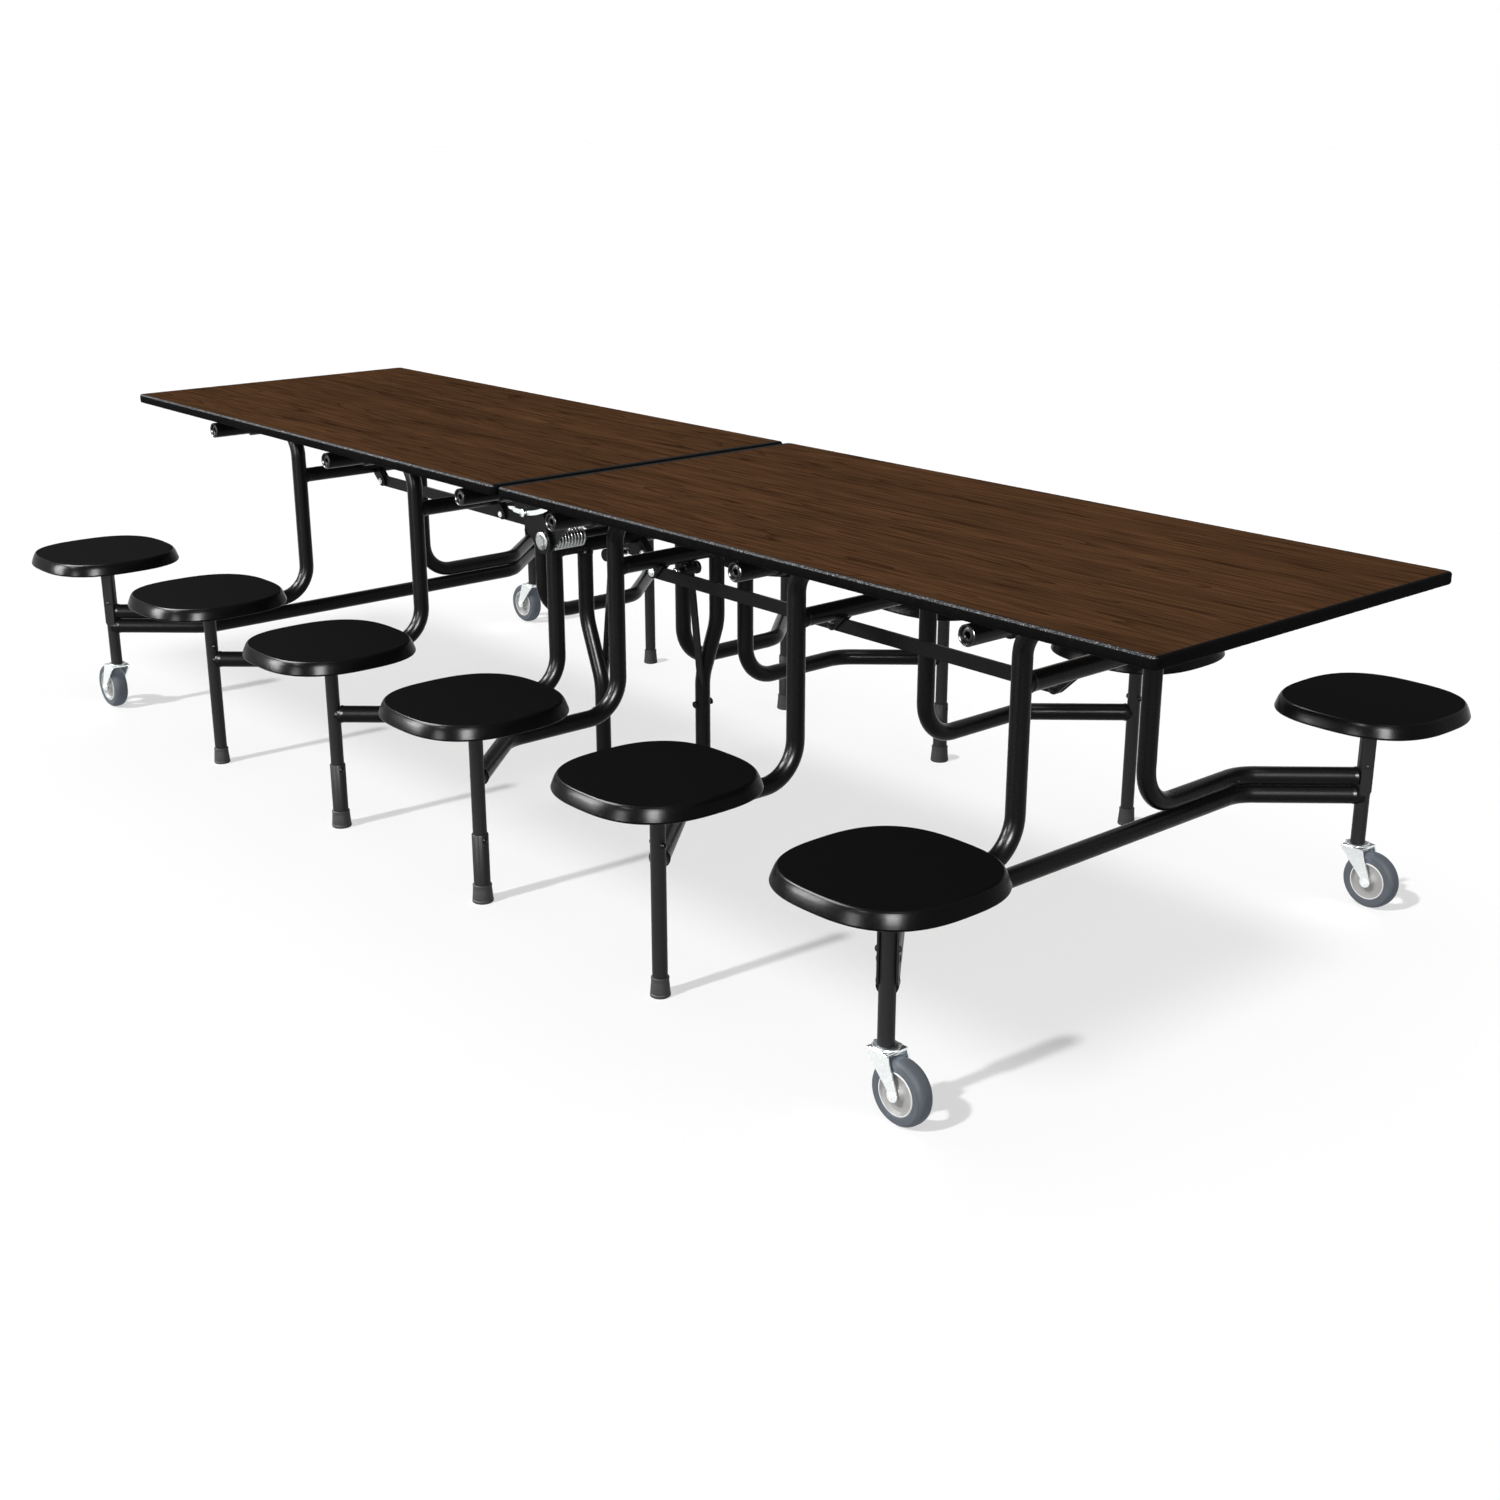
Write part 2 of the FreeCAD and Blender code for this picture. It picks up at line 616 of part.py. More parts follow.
def right_half():
    """Every node of the right half, by its short name."""
    panel, edge = top_solids()
    nodes = {"top_panel": [panel], "top_edge": [edge]}
    nodes["pivot_saddles"] = [saddle(i, side) for i in range(3) for side in (-1, 1)]
    nodes["link_bar"] = [link_bar()]
    for index, name in enumerate(FRAME_NAMES):
        nodes[name + "_arms"] = both(arm, index)
        nodes[name + "_cross_tube"] = [cross_tube(index)]
        nodes[name + "_pivot_tube"] = [pivot_tube(index)]
        nodes[name + "_seat_posts"] = both(seat_post, index)
        nodes[name + "_seats"] = both(seat, index)
        if name != "end":
            leg_diameter = ADJUSTER_OD if name == "inner" else POST_OD
            nodes[name + "_feet"] = [foot(*seat_spot(index, side), leg_diameter) for side in (-1, 1)]
    low_x = frame_x(0) - CENTRE_LEG_SHIFT
    nodes["inner_feet"].append(foot(low_x, CENTRE_LEG_Y, CENTRE_LEG_OD))
    nodes["centre_leg"] = centre_leg()
    nodes["lower_bar"] = [lower_bar()]
    for side, word in ((-1, "near"), (1, "far")):
        nodes[word + "_caster_fork"] = caster_fork(side)
        nodes[word + "_caster_wheel"] = caster_wheel(side)
    return nodes


def turned(shape):
    """Copy turned half a turn about the vertical."""
    copy = shape.copy()
    copy.rotate(Vector(0, 0, 0), UP, 180)
    return copy


def save(name, solids):
    """Write the solids of one node."""
    pieces = [piece for shape in solids for piece in shape.Solids]
    shape = pieces[0] if len(pieces) == 1 else Part.makeCompound(pieces)
    if not shape.isValid() or len(pieces) != len(solids):
        print("check", name, shape.isValid(), len(pieces), len(solids))
    shape.exportStep(os.path.join("parts", name + ".step"))


def left_name(name):
    """Name on the left half: the half turn brings a near piece to the far side."""
    words = {"near": "far", "far": "near"}
    return "left_" + "_".join(words.get(word, word) for word in name.split("_"))


def main():
    """Build and write every node."""
    for name, solids in right_half().items():
        save("right_" + name, solids)
        save(left_name(name), [turned(s) for s in solids])
    save("right_hinge_plates", hinge_plates(SHAFT_OD + 2 * SHAFT_FIT))
    left_plates = [turned(p) for p in hinge_plates(SHAFT_OD)]
    left_plates[1] = left_plates[1].fuse(latch_pin()).removeSplitter()
    save("left_hinge_plates", left_plates)
    save("hinge_shaft", [hinge_shaft()])
    save("lift_springs", [spring(-1), spring(1)])
    save("latch_lever", [latch_lever()])
    print("spring self gap %.2f mm" % spring_self_gap())
    print("nodes", len(os.listdir("parts")))


main()
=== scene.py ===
"""Looks of the folding stool table: laminate tops, bent tube frames, moulded seats and casters.

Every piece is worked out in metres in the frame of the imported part: X along the table, Z up, floor at zero.
Shapes are written for the right half; the left half is the same shape turned half a turn about Z.
"""

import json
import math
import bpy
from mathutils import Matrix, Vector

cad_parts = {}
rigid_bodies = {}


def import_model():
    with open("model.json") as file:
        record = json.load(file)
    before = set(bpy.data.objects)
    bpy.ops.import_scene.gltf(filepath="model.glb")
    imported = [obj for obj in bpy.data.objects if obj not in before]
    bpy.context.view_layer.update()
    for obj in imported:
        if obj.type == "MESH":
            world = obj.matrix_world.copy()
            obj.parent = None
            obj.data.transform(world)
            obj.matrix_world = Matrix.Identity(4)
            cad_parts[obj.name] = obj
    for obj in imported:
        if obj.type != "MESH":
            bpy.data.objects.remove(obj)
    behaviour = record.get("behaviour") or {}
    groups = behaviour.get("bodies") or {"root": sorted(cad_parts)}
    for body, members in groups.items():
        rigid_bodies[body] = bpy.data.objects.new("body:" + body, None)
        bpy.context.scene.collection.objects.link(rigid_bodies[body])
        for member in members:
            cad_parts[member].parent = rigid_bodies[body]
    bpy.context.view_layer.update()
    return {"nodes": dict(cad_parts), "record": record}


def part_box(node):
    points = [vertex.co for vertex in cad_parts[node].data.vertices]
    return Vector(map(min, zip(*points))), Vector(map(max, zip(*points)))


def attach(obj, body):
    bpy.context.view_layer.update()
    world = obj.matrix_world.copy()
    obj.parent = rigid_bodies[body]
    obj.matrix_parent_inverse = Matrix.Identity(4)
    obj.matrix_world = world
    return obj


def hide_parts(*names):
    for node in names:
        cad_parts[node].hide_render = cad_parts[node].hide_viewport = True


bl_info = {
    "name": "Folding stool table",
    "version": (1, 0, 0),
    "blender": (4, 5, 0),
    "location": "View3D > Sidebar > Stool table",
    "description": "Builds a folding table with fixed stools around its packed frame",
    "category": "Object",
}

import bmesh
import bpy
import numpy as np
from mathutils import Vector

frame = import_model()
MM = 0.001
SIDES = {"left": -1.0, "right": 1.0}
FRAMES = ("inner", "middle", "end")


def joint_place(name):
    """Rest position of a joint, from the record."""
    joints = frame["record"]["behaviour"]["joints"]
    return np.array(next(j["pos_m"] for j in joints if j["name"] == name))


def node_box(name):
    """Lowest and highest corner of a node."""
    return np.array(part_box(name))


TUBE_RADIUS = np.ptp(node_box("right_lower_bar"), axis=0)[2] / 2
TOP_LOW, TOP_HIGH = node_box("right_top_edge")
UNDERSIDE = TOP_LOW[2]
PIVOT_AXES = {f: joint_place("right_%s_pivot" % f) for f in FRAMES}
PIVOT_RADIUS = np.ptp(node_box("right_end_pivot_tube"), axis=0)[2] / 2
PIVOT_END = node_box("right_end_pivot_tube")[1][1]
HINGE = joint_place("centre_hinge")
LINK_PIN = joint_place("right_link_pivot")
POST_REACH = 50 * MM
POST_Y = 163 * MM
BEND_Y = 425 * MM
SEAT_REACH = 150 * MM
SEAT_Y = -joint_place("right_near_swivel")[1]
CROSS_Z = HINGE[2] - 48 * MM
NECK_Z = PIVOT_AXES["end"][2] - POST_REACH
LOWER_BAR_Z = node_box("right_lower_bar")[0][2] + TUBE_RADIUS
ARM_Z = {f: node_box("right_%s_arms" % f)[0][2] + TUBE_RADIUS for f in FRAMES}
# Radii of an arm's bends in plan, at the floor and at the neck, and of the centre leg's bends
ARM_BENDS = (75 * MM, 72 * MM, 60 * MM)
LEG_BEND = 120 * MM
SEAT_LOW, SEAT_TOP = (corner[2] for corner in node_box("right_end_seats"))
SEAT_HALF = np.ptp(node_box("right_end_seats"), axis=0)[0] / 2
SEAT_POWER = 2.65
CENTRE_LEG_Y = 88 * MM
CENTRE_LEG_SHIFT = 47 * MM
CENTRE_LEG_RADIUS = 15.5 * MM
POST_RADIUS = 12.7 * MM
# Azimuth from the front and elevation in degrees, width and height in metres, and power in watts
SOFTBOXES = {
    "right softbox": (52, 27, 2.0, 3.0, 4200),
    "left softbox": (-42, 17, 2.0, 2.4, 2000),
    "high softbox": (-62, 48, 5.0, 3.0, 5200),
    "front strip": (0, 11, 1.6, 3.0, 1100),
}
# Direction of each sun's light, its strength, its width in degrees and the pieces that shade it
SUNS = {
    "front sun": ((0.05, 0.86, -0.80), 2.4, 3, ("near_stool", "feet", "tyre", "fork_assembly")),
    "high sun": ((-0.25, 0.06, -1.0), 1.05, 17, ("laminate_board",)),
}
# Greys of the world's light and the floor's lift to white, and the floor's half width in metres
WORLD_LIGHT = 0.31
FLOOR_GLOW = 0.38
FLOOR_REACH = 40.0
# Point that the softboxes face and their distance from it, in metres
SOFTBOX_AIM = Vector((0.6, -0.3, 0.5))
SOFTBOX_DISTANCE = 7.0
# The photograph's camera: place in metres, azimuth and elevation in degrees, focal length in millimetres
CAMERA_PLACE = (3.0049, -2.3513, 1.3834)
CAMERA_ANGLES = (48.98, 18.74)
CAMERA_LENS = 46.868


def size_property(label, words, default):
    """Length property with its default in metres."""
    return bpy.props.FloatProperty(name=label, description=words, default=default, unit="LENGTH")


class TableSizes(bpy.types.PropertyGroup):
    """Sizes that a user may change."""

    weld_height: size_property("Weld height", "How far a weld bead stands out", 1.2 * MM)
    edge_grain: size_property("Edge grain", "Height of the sprayed edge's bumps", 0.5 * MM)
    seat_dish: size_property("Seat dish", "Depth of the hollow in a seat", 0.2 * MM)


def colour_property(label, words, default):
    """Colour property whose default is an sRGB hex value."""
    return bpy.props.FloatVectorProperty(
        name=label, description=words, subtype="COLOR", min=0, max=1, default=linear(default)
    )


def linear(value):
    """Linear colour of an sRGB hex value."""
    channels = [int(value[i:i + 2], 16) / 255 for i in (1, 3, 5)]
    return tuple(c / 12.92 if c <= 0.04045 else ((c + 0.055) / 1.055) ** 2.4 for c in channels)


class TableColours(bpy.types.PropertyGroup):
    """Colours that a user may change."""

    walnut: colour_property("Walnut", "Middle tone of the laminate", "#513825")
    walnut_dark: colour_property("Walnut grain", "Dark streaks of the laminate", "#2b1a10")
    powder_coat: colour_property("Powder coat", "Black of the tubes", "#0d0d0d")
    # The posts' black is paler than the frame's: painted light on the posts.
    post_coat_painted_light: colour_property("Post coat", "Softer black of the stool posts", "#262627")
    seat: colour_property("Seat", "Black of the seats", "#0a0a0a")
    tyre: colour_property("Tyre", "Grey of the tyres", "#555a61")
    zinc: colour_property("Zinc", "Bright zinc plate", "#e9eded")


def sizes():
    """The sizes in use."""
    return bpy.context.scene.stool_table_sizes


def colours():
    """The colours in use."""
    return bpy.context.scene.stool_table_colours


def grid_faces(rows, cols, close_rows):
    """Quads between neighbouring points of rings in rows; the rings close, and the rows may."""
    row, col = np.mgrid[:rows if close_rows else rows - 1, :cols]
    row_next, col_next = (row + 1) % rows, (col + 1) % cols
    corners = (row * cols + col, row * cols + col_next, row_next * cols + col_next, row_next * cols + col)
    return np.stack(corners, -1).reshape(-1, 4).tolist()


def skin(points, close_rows=False):
    """Closed surface over a grid of points: rings in rows, capped at both ends unless the rows close up."""
    rows, cols = points.shape[:2]
    faces = grid_faces(rows, cols, close_rows)
    if not close_rows:
        faces.append(list(range(cols))[::-1])
        faces.append(list(range((rows - 1) * cols, rows * cols)))
    return points.reshape(-1, 3), faces


def mm(*points):
    """Points given in millimetres, as an array in metres."""
    return np.array(points) * MM


def both_ways(profile):
    """Profile followed by its mirror image in the plane of zero height."""
    return np.concatenate([profile, np.flip(profile, 0) * (1, -1)])


def unit(vectors):
    """Vectors scaled to a length of one."""
    return vectors / np.linalg.norm(vectors, axis=-1, keepdims=True)


def arc(angle):
    """Points of the unit circle at the given angles."""
    return np.stack([np.cos(angle), np.sin(angle)], -1)


def circle(count):
    """Unit circle as points in a plane."""
    return arc(np.arange(count) * 2 * np.pi / count)


def lifted(flat, height):
    """Rows of points in plan, each row raised to its height."""
    height = np.broadcast_to(np.reshape(height, (-1, 1, 1)), flat[..., :1].shape)
    return np.concatenate([flat, height], -1)


def smooth_line(points, steps=6):
    """Catmull-Rom curve through the points: each span is a cubic set by its four nearest points."""
    p = np.asarray(points, float)
    padded = np.concatenate([p[:1] * 2 - p[1:2], p, p[-1:] * 2 - p[-2:-1]])
    t = np.linspace(0, 1, steps, endpoint=False)[:, None]
    a, b, c, d = (padded[i:len(p) - 1 + i, None] for i in range(4))
    square, cube = 2 * a - 5 * b + 4 * c - d, 3 * b - a - 3 * c + d
    curve = 0.5 * (2 * b + (c - a) * t + square * t ** 2 + cube * t ** 3)
    return np.concatenate([curve.reshape(-1, p.shape[1]), p[-1:]])


def rounded_path(points, radii, steps=14):
    """Polyline whose inner corners are arcs: each arc is centred where its two tangents' normals meet."""
    points = [np.asarray(p, float) for p in points]
    line = [points[:1]]
    for before, corner, after, radius in zip(points, points[1:], points[2:], radii):
        back, ahead = unit(before - corner), unit(after - corner)
        half = np.arccos(np.clip(back @ ahead, -1, 1)) / 2
        centre = corner + unit(back + ahead) * radius / np.sin(half)
        into = corner + back * radius / np.tan(half)
        spoke = (into - centre) / radius
        angle = np.linspace(0, np.pi - 2 * half, steps)[:, None]
        line.append(centre + radius * (spoke * np.cos(angle) - back * np.sin(angle)))
    line.append(points[-1:])
    return np.concatenate(line)


def step_lengths(line):
    """Distance from each point of a line to the next."""
    return np.linalg.norm(np.diff(line, axis=0), axis=1)


def add_stations(line, distances, digits=7):
    """Line with extra points at the given distances from its start, and the distance of every point."""
    run = np.concatenate([[0], np.cumsum(step_lengths(line))])
    places = np.unique(np.concatenate([run, distances]).round(digits))
    return np.stack([np.interp(places, run, column) for column in line.T], -1), places


def carried_frames(path):
    """Two directions across the path at each point, carried along it with no twist."""
    ahead = unit(np.gradient(path, axis=0))
    aside = (0.31, 0.21, 0.93)  # No path starts along it
    across = [unit(np.cross(ahead[0], aside))]
    for tangent in ahead[1:]:
        across.append(unit(across[-1] - tangent * (across[-1] @ tangent)))
    return np.array(across), np.cross(ahead, across)


def swept(path, radius, count=28):
    """Round bar: a circle of the given radius, one value or one per point, carried along the path."""
    across, upward = carried_frames(path)
    ring = circle(count)
    radius = np.broadcast_to(radius, len(path))[:, None, None]
    spokes = ring[:, :1] * across[:, None] + ring[:, 1:] * upward[:, None]
    return skin(path[:, None] + radius * spokes)


def welded_tube(points, radii, radius, welds, start_radius=None):
    """Bent tube: its radius swells by a bell curve at each weld, given as a distance from either end, and
    may ease from a smaller start radius over the first weld's distance."""
    path = rounded_path(points, radii)
    length = step_lengths(path).sum()
    centres = [w if w >= 0 else length + w for w in welds]
    near, bead = np.linspace(-7, 7, 9) * MM, 3 * MM
    path, places = add_stations(path, np.clip(np.add.outer(centres, near).ravel(), 0, length))
    swell = sum(np.exp(-(((places - c) / bead) ** 2)) for c in centres)
    ease = np.clip(places / max(centres[0], MM), 0, 1) ** 2 if start_radius else 1.0
    first = start_radius or radius
    return swept(path, first + (radius - first) * ease + sizes().weld_height * swell)


def turned_solid(profile, base, axis="z", count=40, closed=False):
    """Solid of revolution: profile of (radius, height) turned about an axis through the base;
    a closed profile makes a ring."""
    profile = np.asarray(profile, float)
    local = lifted(profile[:, None, :1] * circle(count), profile[:, 1])
    order = {"z": (0, 1, 2), "y": (1, 2, 0), "x": (2, 0, 1)}[axis]
    return skin(local[..., order] + np.asarray(base, float), closed)


def hexagon(across, low, high, base, axis="z", bevel=0.6 * MM):
    """Six-sided nut or bolt head with its edges broken."""
    radius = across / math.sqrt(3)
    edge = math.copysign(bevel, high - low)
    profile = ((radius - bevel, low), (radius, low + edge), (radius, high - edge), (radius - bevel, high))
    return turned_solid(profile, base, axis, 6)


def joined_discs(start, start_radius, end, end_radius, count=24):
    """Outline of two discs and the tangents that join them, as points in a plane."""
    span = np.subtract(end, start)
    heading = np.arctan2(span[1], span[0])
    lean = np.arccos((start_radius - end_radius) / np.linalg.norm(span))
    back = heading + np.linspace(lean, 2 * np.pi - lean, count)
    front = heading + np.linspace(-lean, lean, count)
    return np.concatenate([start + start_radius * arc(back), end + end_radius * arc(front)])


def plate(outline, low, high, bevel=0.7 * MM):
    """Flat plate in the XZ plane between two Y values, with its edges broken."""
    inner = outline - bevel * unit(outline - outline.mean(0))
    rings = ((inner, low), (outline, low + bevel), (outline, high - bevel), (inner, high))
    return skin(np.array([np.insert(ring, 1, y, axis=1) for ring, y in rings]))


def flat_bar(start, end, width_way, width, thickness):
    """Straight flat bar with broken edges between two points."""
    run = unit(np.subtract(end, start))
    wide = unit(width_way - run * (width_way @ run))
    thin = np.cross(run, wide)
    edge = 0.7 * MM
    w, t = width / 2, thickness / 2
    corners = ((w - edge, t), (w, t - edge), (w, edge - t), (w - edge, -t))
    corners += tuple((-a, -b) for a, b in corners)
    ring = np.array([a * wide + b * thin for a, b in corners])
    return skin(np.array([start + ring, end + ring]))


def piece(name, parts, body, slot, material, replaces=(), way=1.0, sharp=35, accent=None):
    """Object made of the parts, riding on a body and standing for the named nodes. The parts are written
    for the right half, and way is -1 for the left half. An accent is a second finish and a test of face
    centres that says where it goes."""
    points, faces, start = [], [], 0
    for part_points, part_faces in parts:
        points.append(part_points * (way, way, 1.0))
        faces += [[i + start for i in face] for face in part_faces]
        start += len(part_points)
    mesh = bpy.data.meshes.new(name)
    mesh.from_pydata(np.concatenate(points).tolist(), [], faces)
    shell = bmesh.new()
    shell.from_mesh(mesh)
    bmesh.ops.recalc_face_normals(shell, faces=shell.faces)
    shell.to_mesh(mesh)
    shell.free()
    mesh.shade_smooth()
    mesh.set_sharp_from_angle(angle=math.radians(sharp))
    mesh.materials.append(material)
    if accent:
        second, test = accent
        mesh.materials.append(second)
        centres = np.empty(len(mesh.polygons) * 3)
        mesh.polygons.foreach_get("center", centres)
        mesh.polygons.foreach_set("material_index", test(centres.reshape(-1, 3)).astype(np.int32))
    item = bpy.data.objects.new(name, mesh)
    bpy.context.scene.collection.objects.link(item)
    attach(item, body)
    if replaces:
        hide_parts(*replaces)


def node(tree, kind, settings=None, values=None, links=None, stops=(), feeds=None):
    """Adds a node with its settings, socket values, links into named inputs, a ramp's colour stops, and the
    sockets that its named outputs feed."""
    made = tree.nodes.new(kind)
    for key, value in (settings or {}).items():
        setattr(made, key, value)
    for key, value in (values or {}).items():
        made.inputs[key].default_value = value
    for key, socket in (links or {}).items():
        tree.links.new(socket, made.inputs[key])
    for index, (position, colour) in enumerate(stops):
        elements = made.color_ramp.elements
        element = elements[index] if index < len(elements) else elements.new(position)
        element.position = position
        element.color = (*colour, 1)
    for key, socket in (feeds or {}).items():
        tree.links.new(made.outputs[key], socket)
    return made


def finish(name, values):
    """New material with its shader's constant sockets set, and its tree, shader and Object coordinates."""
    found = bpy.data.materials.get(name)
    if found:
        return found, None, None, None
    material = bpy.data.materials.new(name)
    material.use_nodes = True
    tree = material.node_tree
    shader = tree.nodes["Principled BSDF"]
    for key, value in values.items():
        shader.inputs[key].default_value = value
    place = node(tree, "ShaderNodeTexCoord").outputs["Object"]
    return material, tree, shader, place


def walnut_laminate():
    """Printed walnut laminate: long brown figure with growth rings, dark streaks and fine pores, matt
    from its pressed grain."""
    material, tree, shader, place = finish("walnut laminate", {"Roughness": 0.55, "Specular IOR Level": 0.0})
    if not tree:
        return material
    middle, plain = colours().walnut, (1, 1, 1)
    low, high = tuple(c * 0.80 for c in middle), tuple(c * 1.18 for c in middle)
    # Length and width of each layer's marks in millimetres, their distortion and detail, and a ramp from
    # the darkest marks to plain wood
    layers = {
        "figure": (620, 55, 0.8, 3.0, ((0.32, low), (0.68, high))),
        "bands": (420, 15, 1.4, 4.0, ((0.30, (0.40, 0.40, 0.40)), (0.46, plain))),
        "pores": (120, 2.6, 0.2, 3.0, ((0.36, (0.35, 0.35, 0.35)), (0.56, plain))),
        "rings": (1500, 85, 0.3, 1.0, ((0.0, (0.42, 0.40, 0.38)), (0.24, plain))),
    }
    shades = {}
    for name, (length, width, bend, detail, stops) in layers.items():
        scale = tuple(1 / mm(length, width, width))
        stretched = node(tree, "ShaderNodeMapping", values={"Scale": scale}, links={"Vector": place})
        noise = {"Scale": 1.0, "Detail": detail, "Roughness": 0.55, "Distortion": bend}
        spread = {"Vector": stretched.outputs["Vector"]}
        marks = node(tree, "ShaderNodeTexNoise", values=noise, links=spread).outputs["Fac"]
        if name == "pores":
            node(tree, "ShaderNodeBump", values={"Strength": 0.4, "Distance": 0.05 * MM},
                 links={"Height": marks}, feeds={"Normal": shader.inputs["Normal"]})
        if name == "rings":
            # Growth rings are the lines of equal height of a long smooth noise
            count = node(tree, "ShaderNodeMath", {"operation": "MULTIPLY"}, {1: 18.0}, {0: marks})
            between = node(tree, "ShaderNodeMath", {"operation": "FRACT"}, links={0: count.outputs[0]})
            marks = between.outputs[0]
        ramp = node(tree, "ShaderNodeValToRGB", links={"Fac": marks}, stops=stops)
        shades[name] = ramp.outputs["Color"]
    tone = node(tree, "ShaderNodeMix", {"data_type": "RGBA"}, {"A": (*colours().walnut_dark, 1)},
                {"Factor": shades["bands"], "B": shades["figure"]})
    for name, share in (("pores", 0.75), ("rings", 0.8)):
        tone = node(tree, "ShaderNodeMix", {"data_type": "RGBA", "blend_type": "MULTIPLY"}, {"Factor": share},
                    {"A": tone.outputs["Result"], "B": shades[name]})
    tree.links.new(tone.outputs["Result"], shader.inputs["Base Color"])
    return material


def speckled(name, colour, roughness, level, grain, height, spread=0.06):
    """Sprayed or moulded finish: a plain colour, with grain whose size and height are in
    millimetres, and uneven gloss."""
    values = {"Base Color": (*colour, 1), "Specular IOR Level": level}
    material, tree, shader, place = finish(name, values)
    if not tree:
        return material
    noise = {"Scale": 1 / (grain * MM), "Detail": 3.0, "Roughness": 0.6}
    texture = node(tree, "ShaderNodeTexNoise", values=noise, links={"Vector": place}).outputs["Fac"]
    gloss = {"From Min": 0.3, "From Max": 0.7, "To Min": roughness - spread, "To Max": roughness + spread}
    node(tree, "ShaderNodeMapRange", values=gloss, links={"Value": texture},
         feeds={"Result": shader.inputs["Roughness"]})
    node(tree, "ShaderNodeBump", values={"Distance": height * MM}, links={"Height": texture},
         feeds={"Normal": shader.inputs["Normal"]})
    return material


def tinted(name, values, stops, settings, output, pattern="ShaderNodeTexVoronoi"):
    """Finish whose colour follows a pattern through the stops, with its tree, shader and pattern."""
    material, tree, shader, place = finish(name, values)
    if not tree:
        return material, None, None, None
    marks = node(tree, pattern, values=settings, links={"Vector": place}).outputs
    node(tree, "ShaderNodeValToRGB", links={"Fac": marks[output]}, stops=stops,
         feeds={"Color": shader.inputs["Base Color"]})
    return material, tree, shader, marks


def powder_coat():
    """Black powder coat: a satin film with orange peel about two millimetres across."""
    return speckled("black powder coat", colours().powder_coat, 0.28, 0.07, 2.2, 0.01, 0.03)


def rubbed_coat():
    """The same powder coat where handling has rubbed it bright, on the rims of the pivot tubes."""
    return speckled("rubbed black powder coat", colours().powder_coat, 0.26, 0.25, 2.2, 0.01, 0.03)


def post_coat_painted_light():
    """Matt black powder coat of the stool posts: softer than the frame's, and a little paler as painted light
    falling on the posts.
    """
    return speckled("matt black powder coat", colours().post_coat_painted_light, 0.40, 0.06, 2.2, 0.03)


def seat_plastic():
    """Moulded polypropylene with a fine spark-eroded grain: nearly no shine until seen at a low angle."""
    return speckled("grained black polypropylene", colours().seat, 0.62, 0.002, 1.6, 0.02)


def polished_plastic():
    """The same polypropylene where the mould was polished, round the side of the seat: a soft shine."""
    return speckled("polished black polypropylene", colours().seat, 0.24, 0.03, 6.0, 0.01, 0.03)


def edge_polymer():
    """Sprayed polyurea edge: black with hard bumps about two millimetres across."""
    return speckled("sprayed black polyurea", colours().powder_coat, 0.45, 0.003, 2.0, 0.5, 0.10)


def edge_ridge_painted_glints():
    """Upper rounding of the long edges: the same spray with bumps, and silver-grey speckles painted on as
    glints of light.
    """
    values = {"Roughness": 0.50, "Specular IOR Level": 0.02}
    # The stops run from black to silver-grey: the grey speckles are painted glints, and the same pattern
    # drives real bumps.
    stops = ((0.30, linear("#101011")), (0.65, linear("#303132")), (0.95, linear("#8c8d8f")))
    glint_and_bump_speckles = {"Scale": 1 / (1.5 * MM)}
    material, tree, shader, marks = tinted("gritty polyurea ridge", values, stops, glint_and_bump_speckles, "Color")
    if tree:
        node(tree, "ShaderNodeBump", values={"Distance": 0.6 * MM}, links={"Height": marks["Distance"]},
             feeds={"Normal": shader.inputs["Normal"]})
    return material


def foot_rubber():
    """Black rubber: matt, with a faint grey bloom."""
    return speckled("black foot rubber", linear("#2c2c2d"), 0.60, 0.12, 3.0, 0.05)


def tyre_rubber():
    """Grey thermoplastic rubber: matt and slightly mottled."""
    return speckled("grey tyre rubber", colours().tyre, 0.60, 0.05, 4.0, 0.05)


def hub_plastic():
    """Light grey moulded nylon hub."""
    return speckled("pale grey nylon", linear("#969594"), 0.50, 0.10, 5.0, 0.03)


def hub_lip_painted_highlight():
    """The hub's outer lip: smoother than the rest, and paler, as a highlight ring painted on."""
    return speckled("trimmed pale nylon", linear("#d9d9d8"), 0.35, 0.3, 5.0, 0.01)


def zinc_painted_dark_reflection():
    """Zinc plate on the caster's upward faces, painted dark grey as a dark reflection: a dark grey metal."""
    values = {"Metallic": 1.0, "Roughness": 0.38}
    # Noise between two dark greys: the painted dark reflection, mottled.
    dark_reflection_mottle = {"Scale": 1 / (9 * MM), "Detail": 3.0}
    stops = ((0.35, linear("#3a3d3f")), (0.65, linear("#6d7173")))
    return tinted("greased zinc plate", values, stops, dark_reflection_mottle, "Fac", "ShaderNodeTexNoise")[0]


def bright_zinc(name="bright zinc plate", share=1.0):
    """Zinc plate: a metal with a soft, slightly uneven shine and faint crystals. The springs and their bolts
    have an older, greyer plate, with a share of the bright plate's colour."""
    zinc = tuple(share * c for c in colours().zinc)
    stops = ((0.0, tuple(c * 0.88 for c in zinc)), (0.8, zinc))
    crystals = {"Scale": 1 / (3 * MM)}
    material, tree, shader, marks = tinted(name, {"Metallic": 1.0}, stops, crystals, "Distance")
    if tree:
        node(tree, "ShaderNodeMapRange", values={"To Min": 0.16, "To Max": 0.28},
             links={"Value": marks["Distance"]}, feeds={"Result": shader.inputs["Roughness"]})
    return material


def frame_x(name):
    """Post plane of a frame on the right half."""
    return PIVOT_AXES[name][0] - POST_REACH


def link_pin(name):
    """Place of the link's pin on a frame of the right half."""
    return LINK_PIN + (frame_x(name) - frame_x("end"), 0, 0)


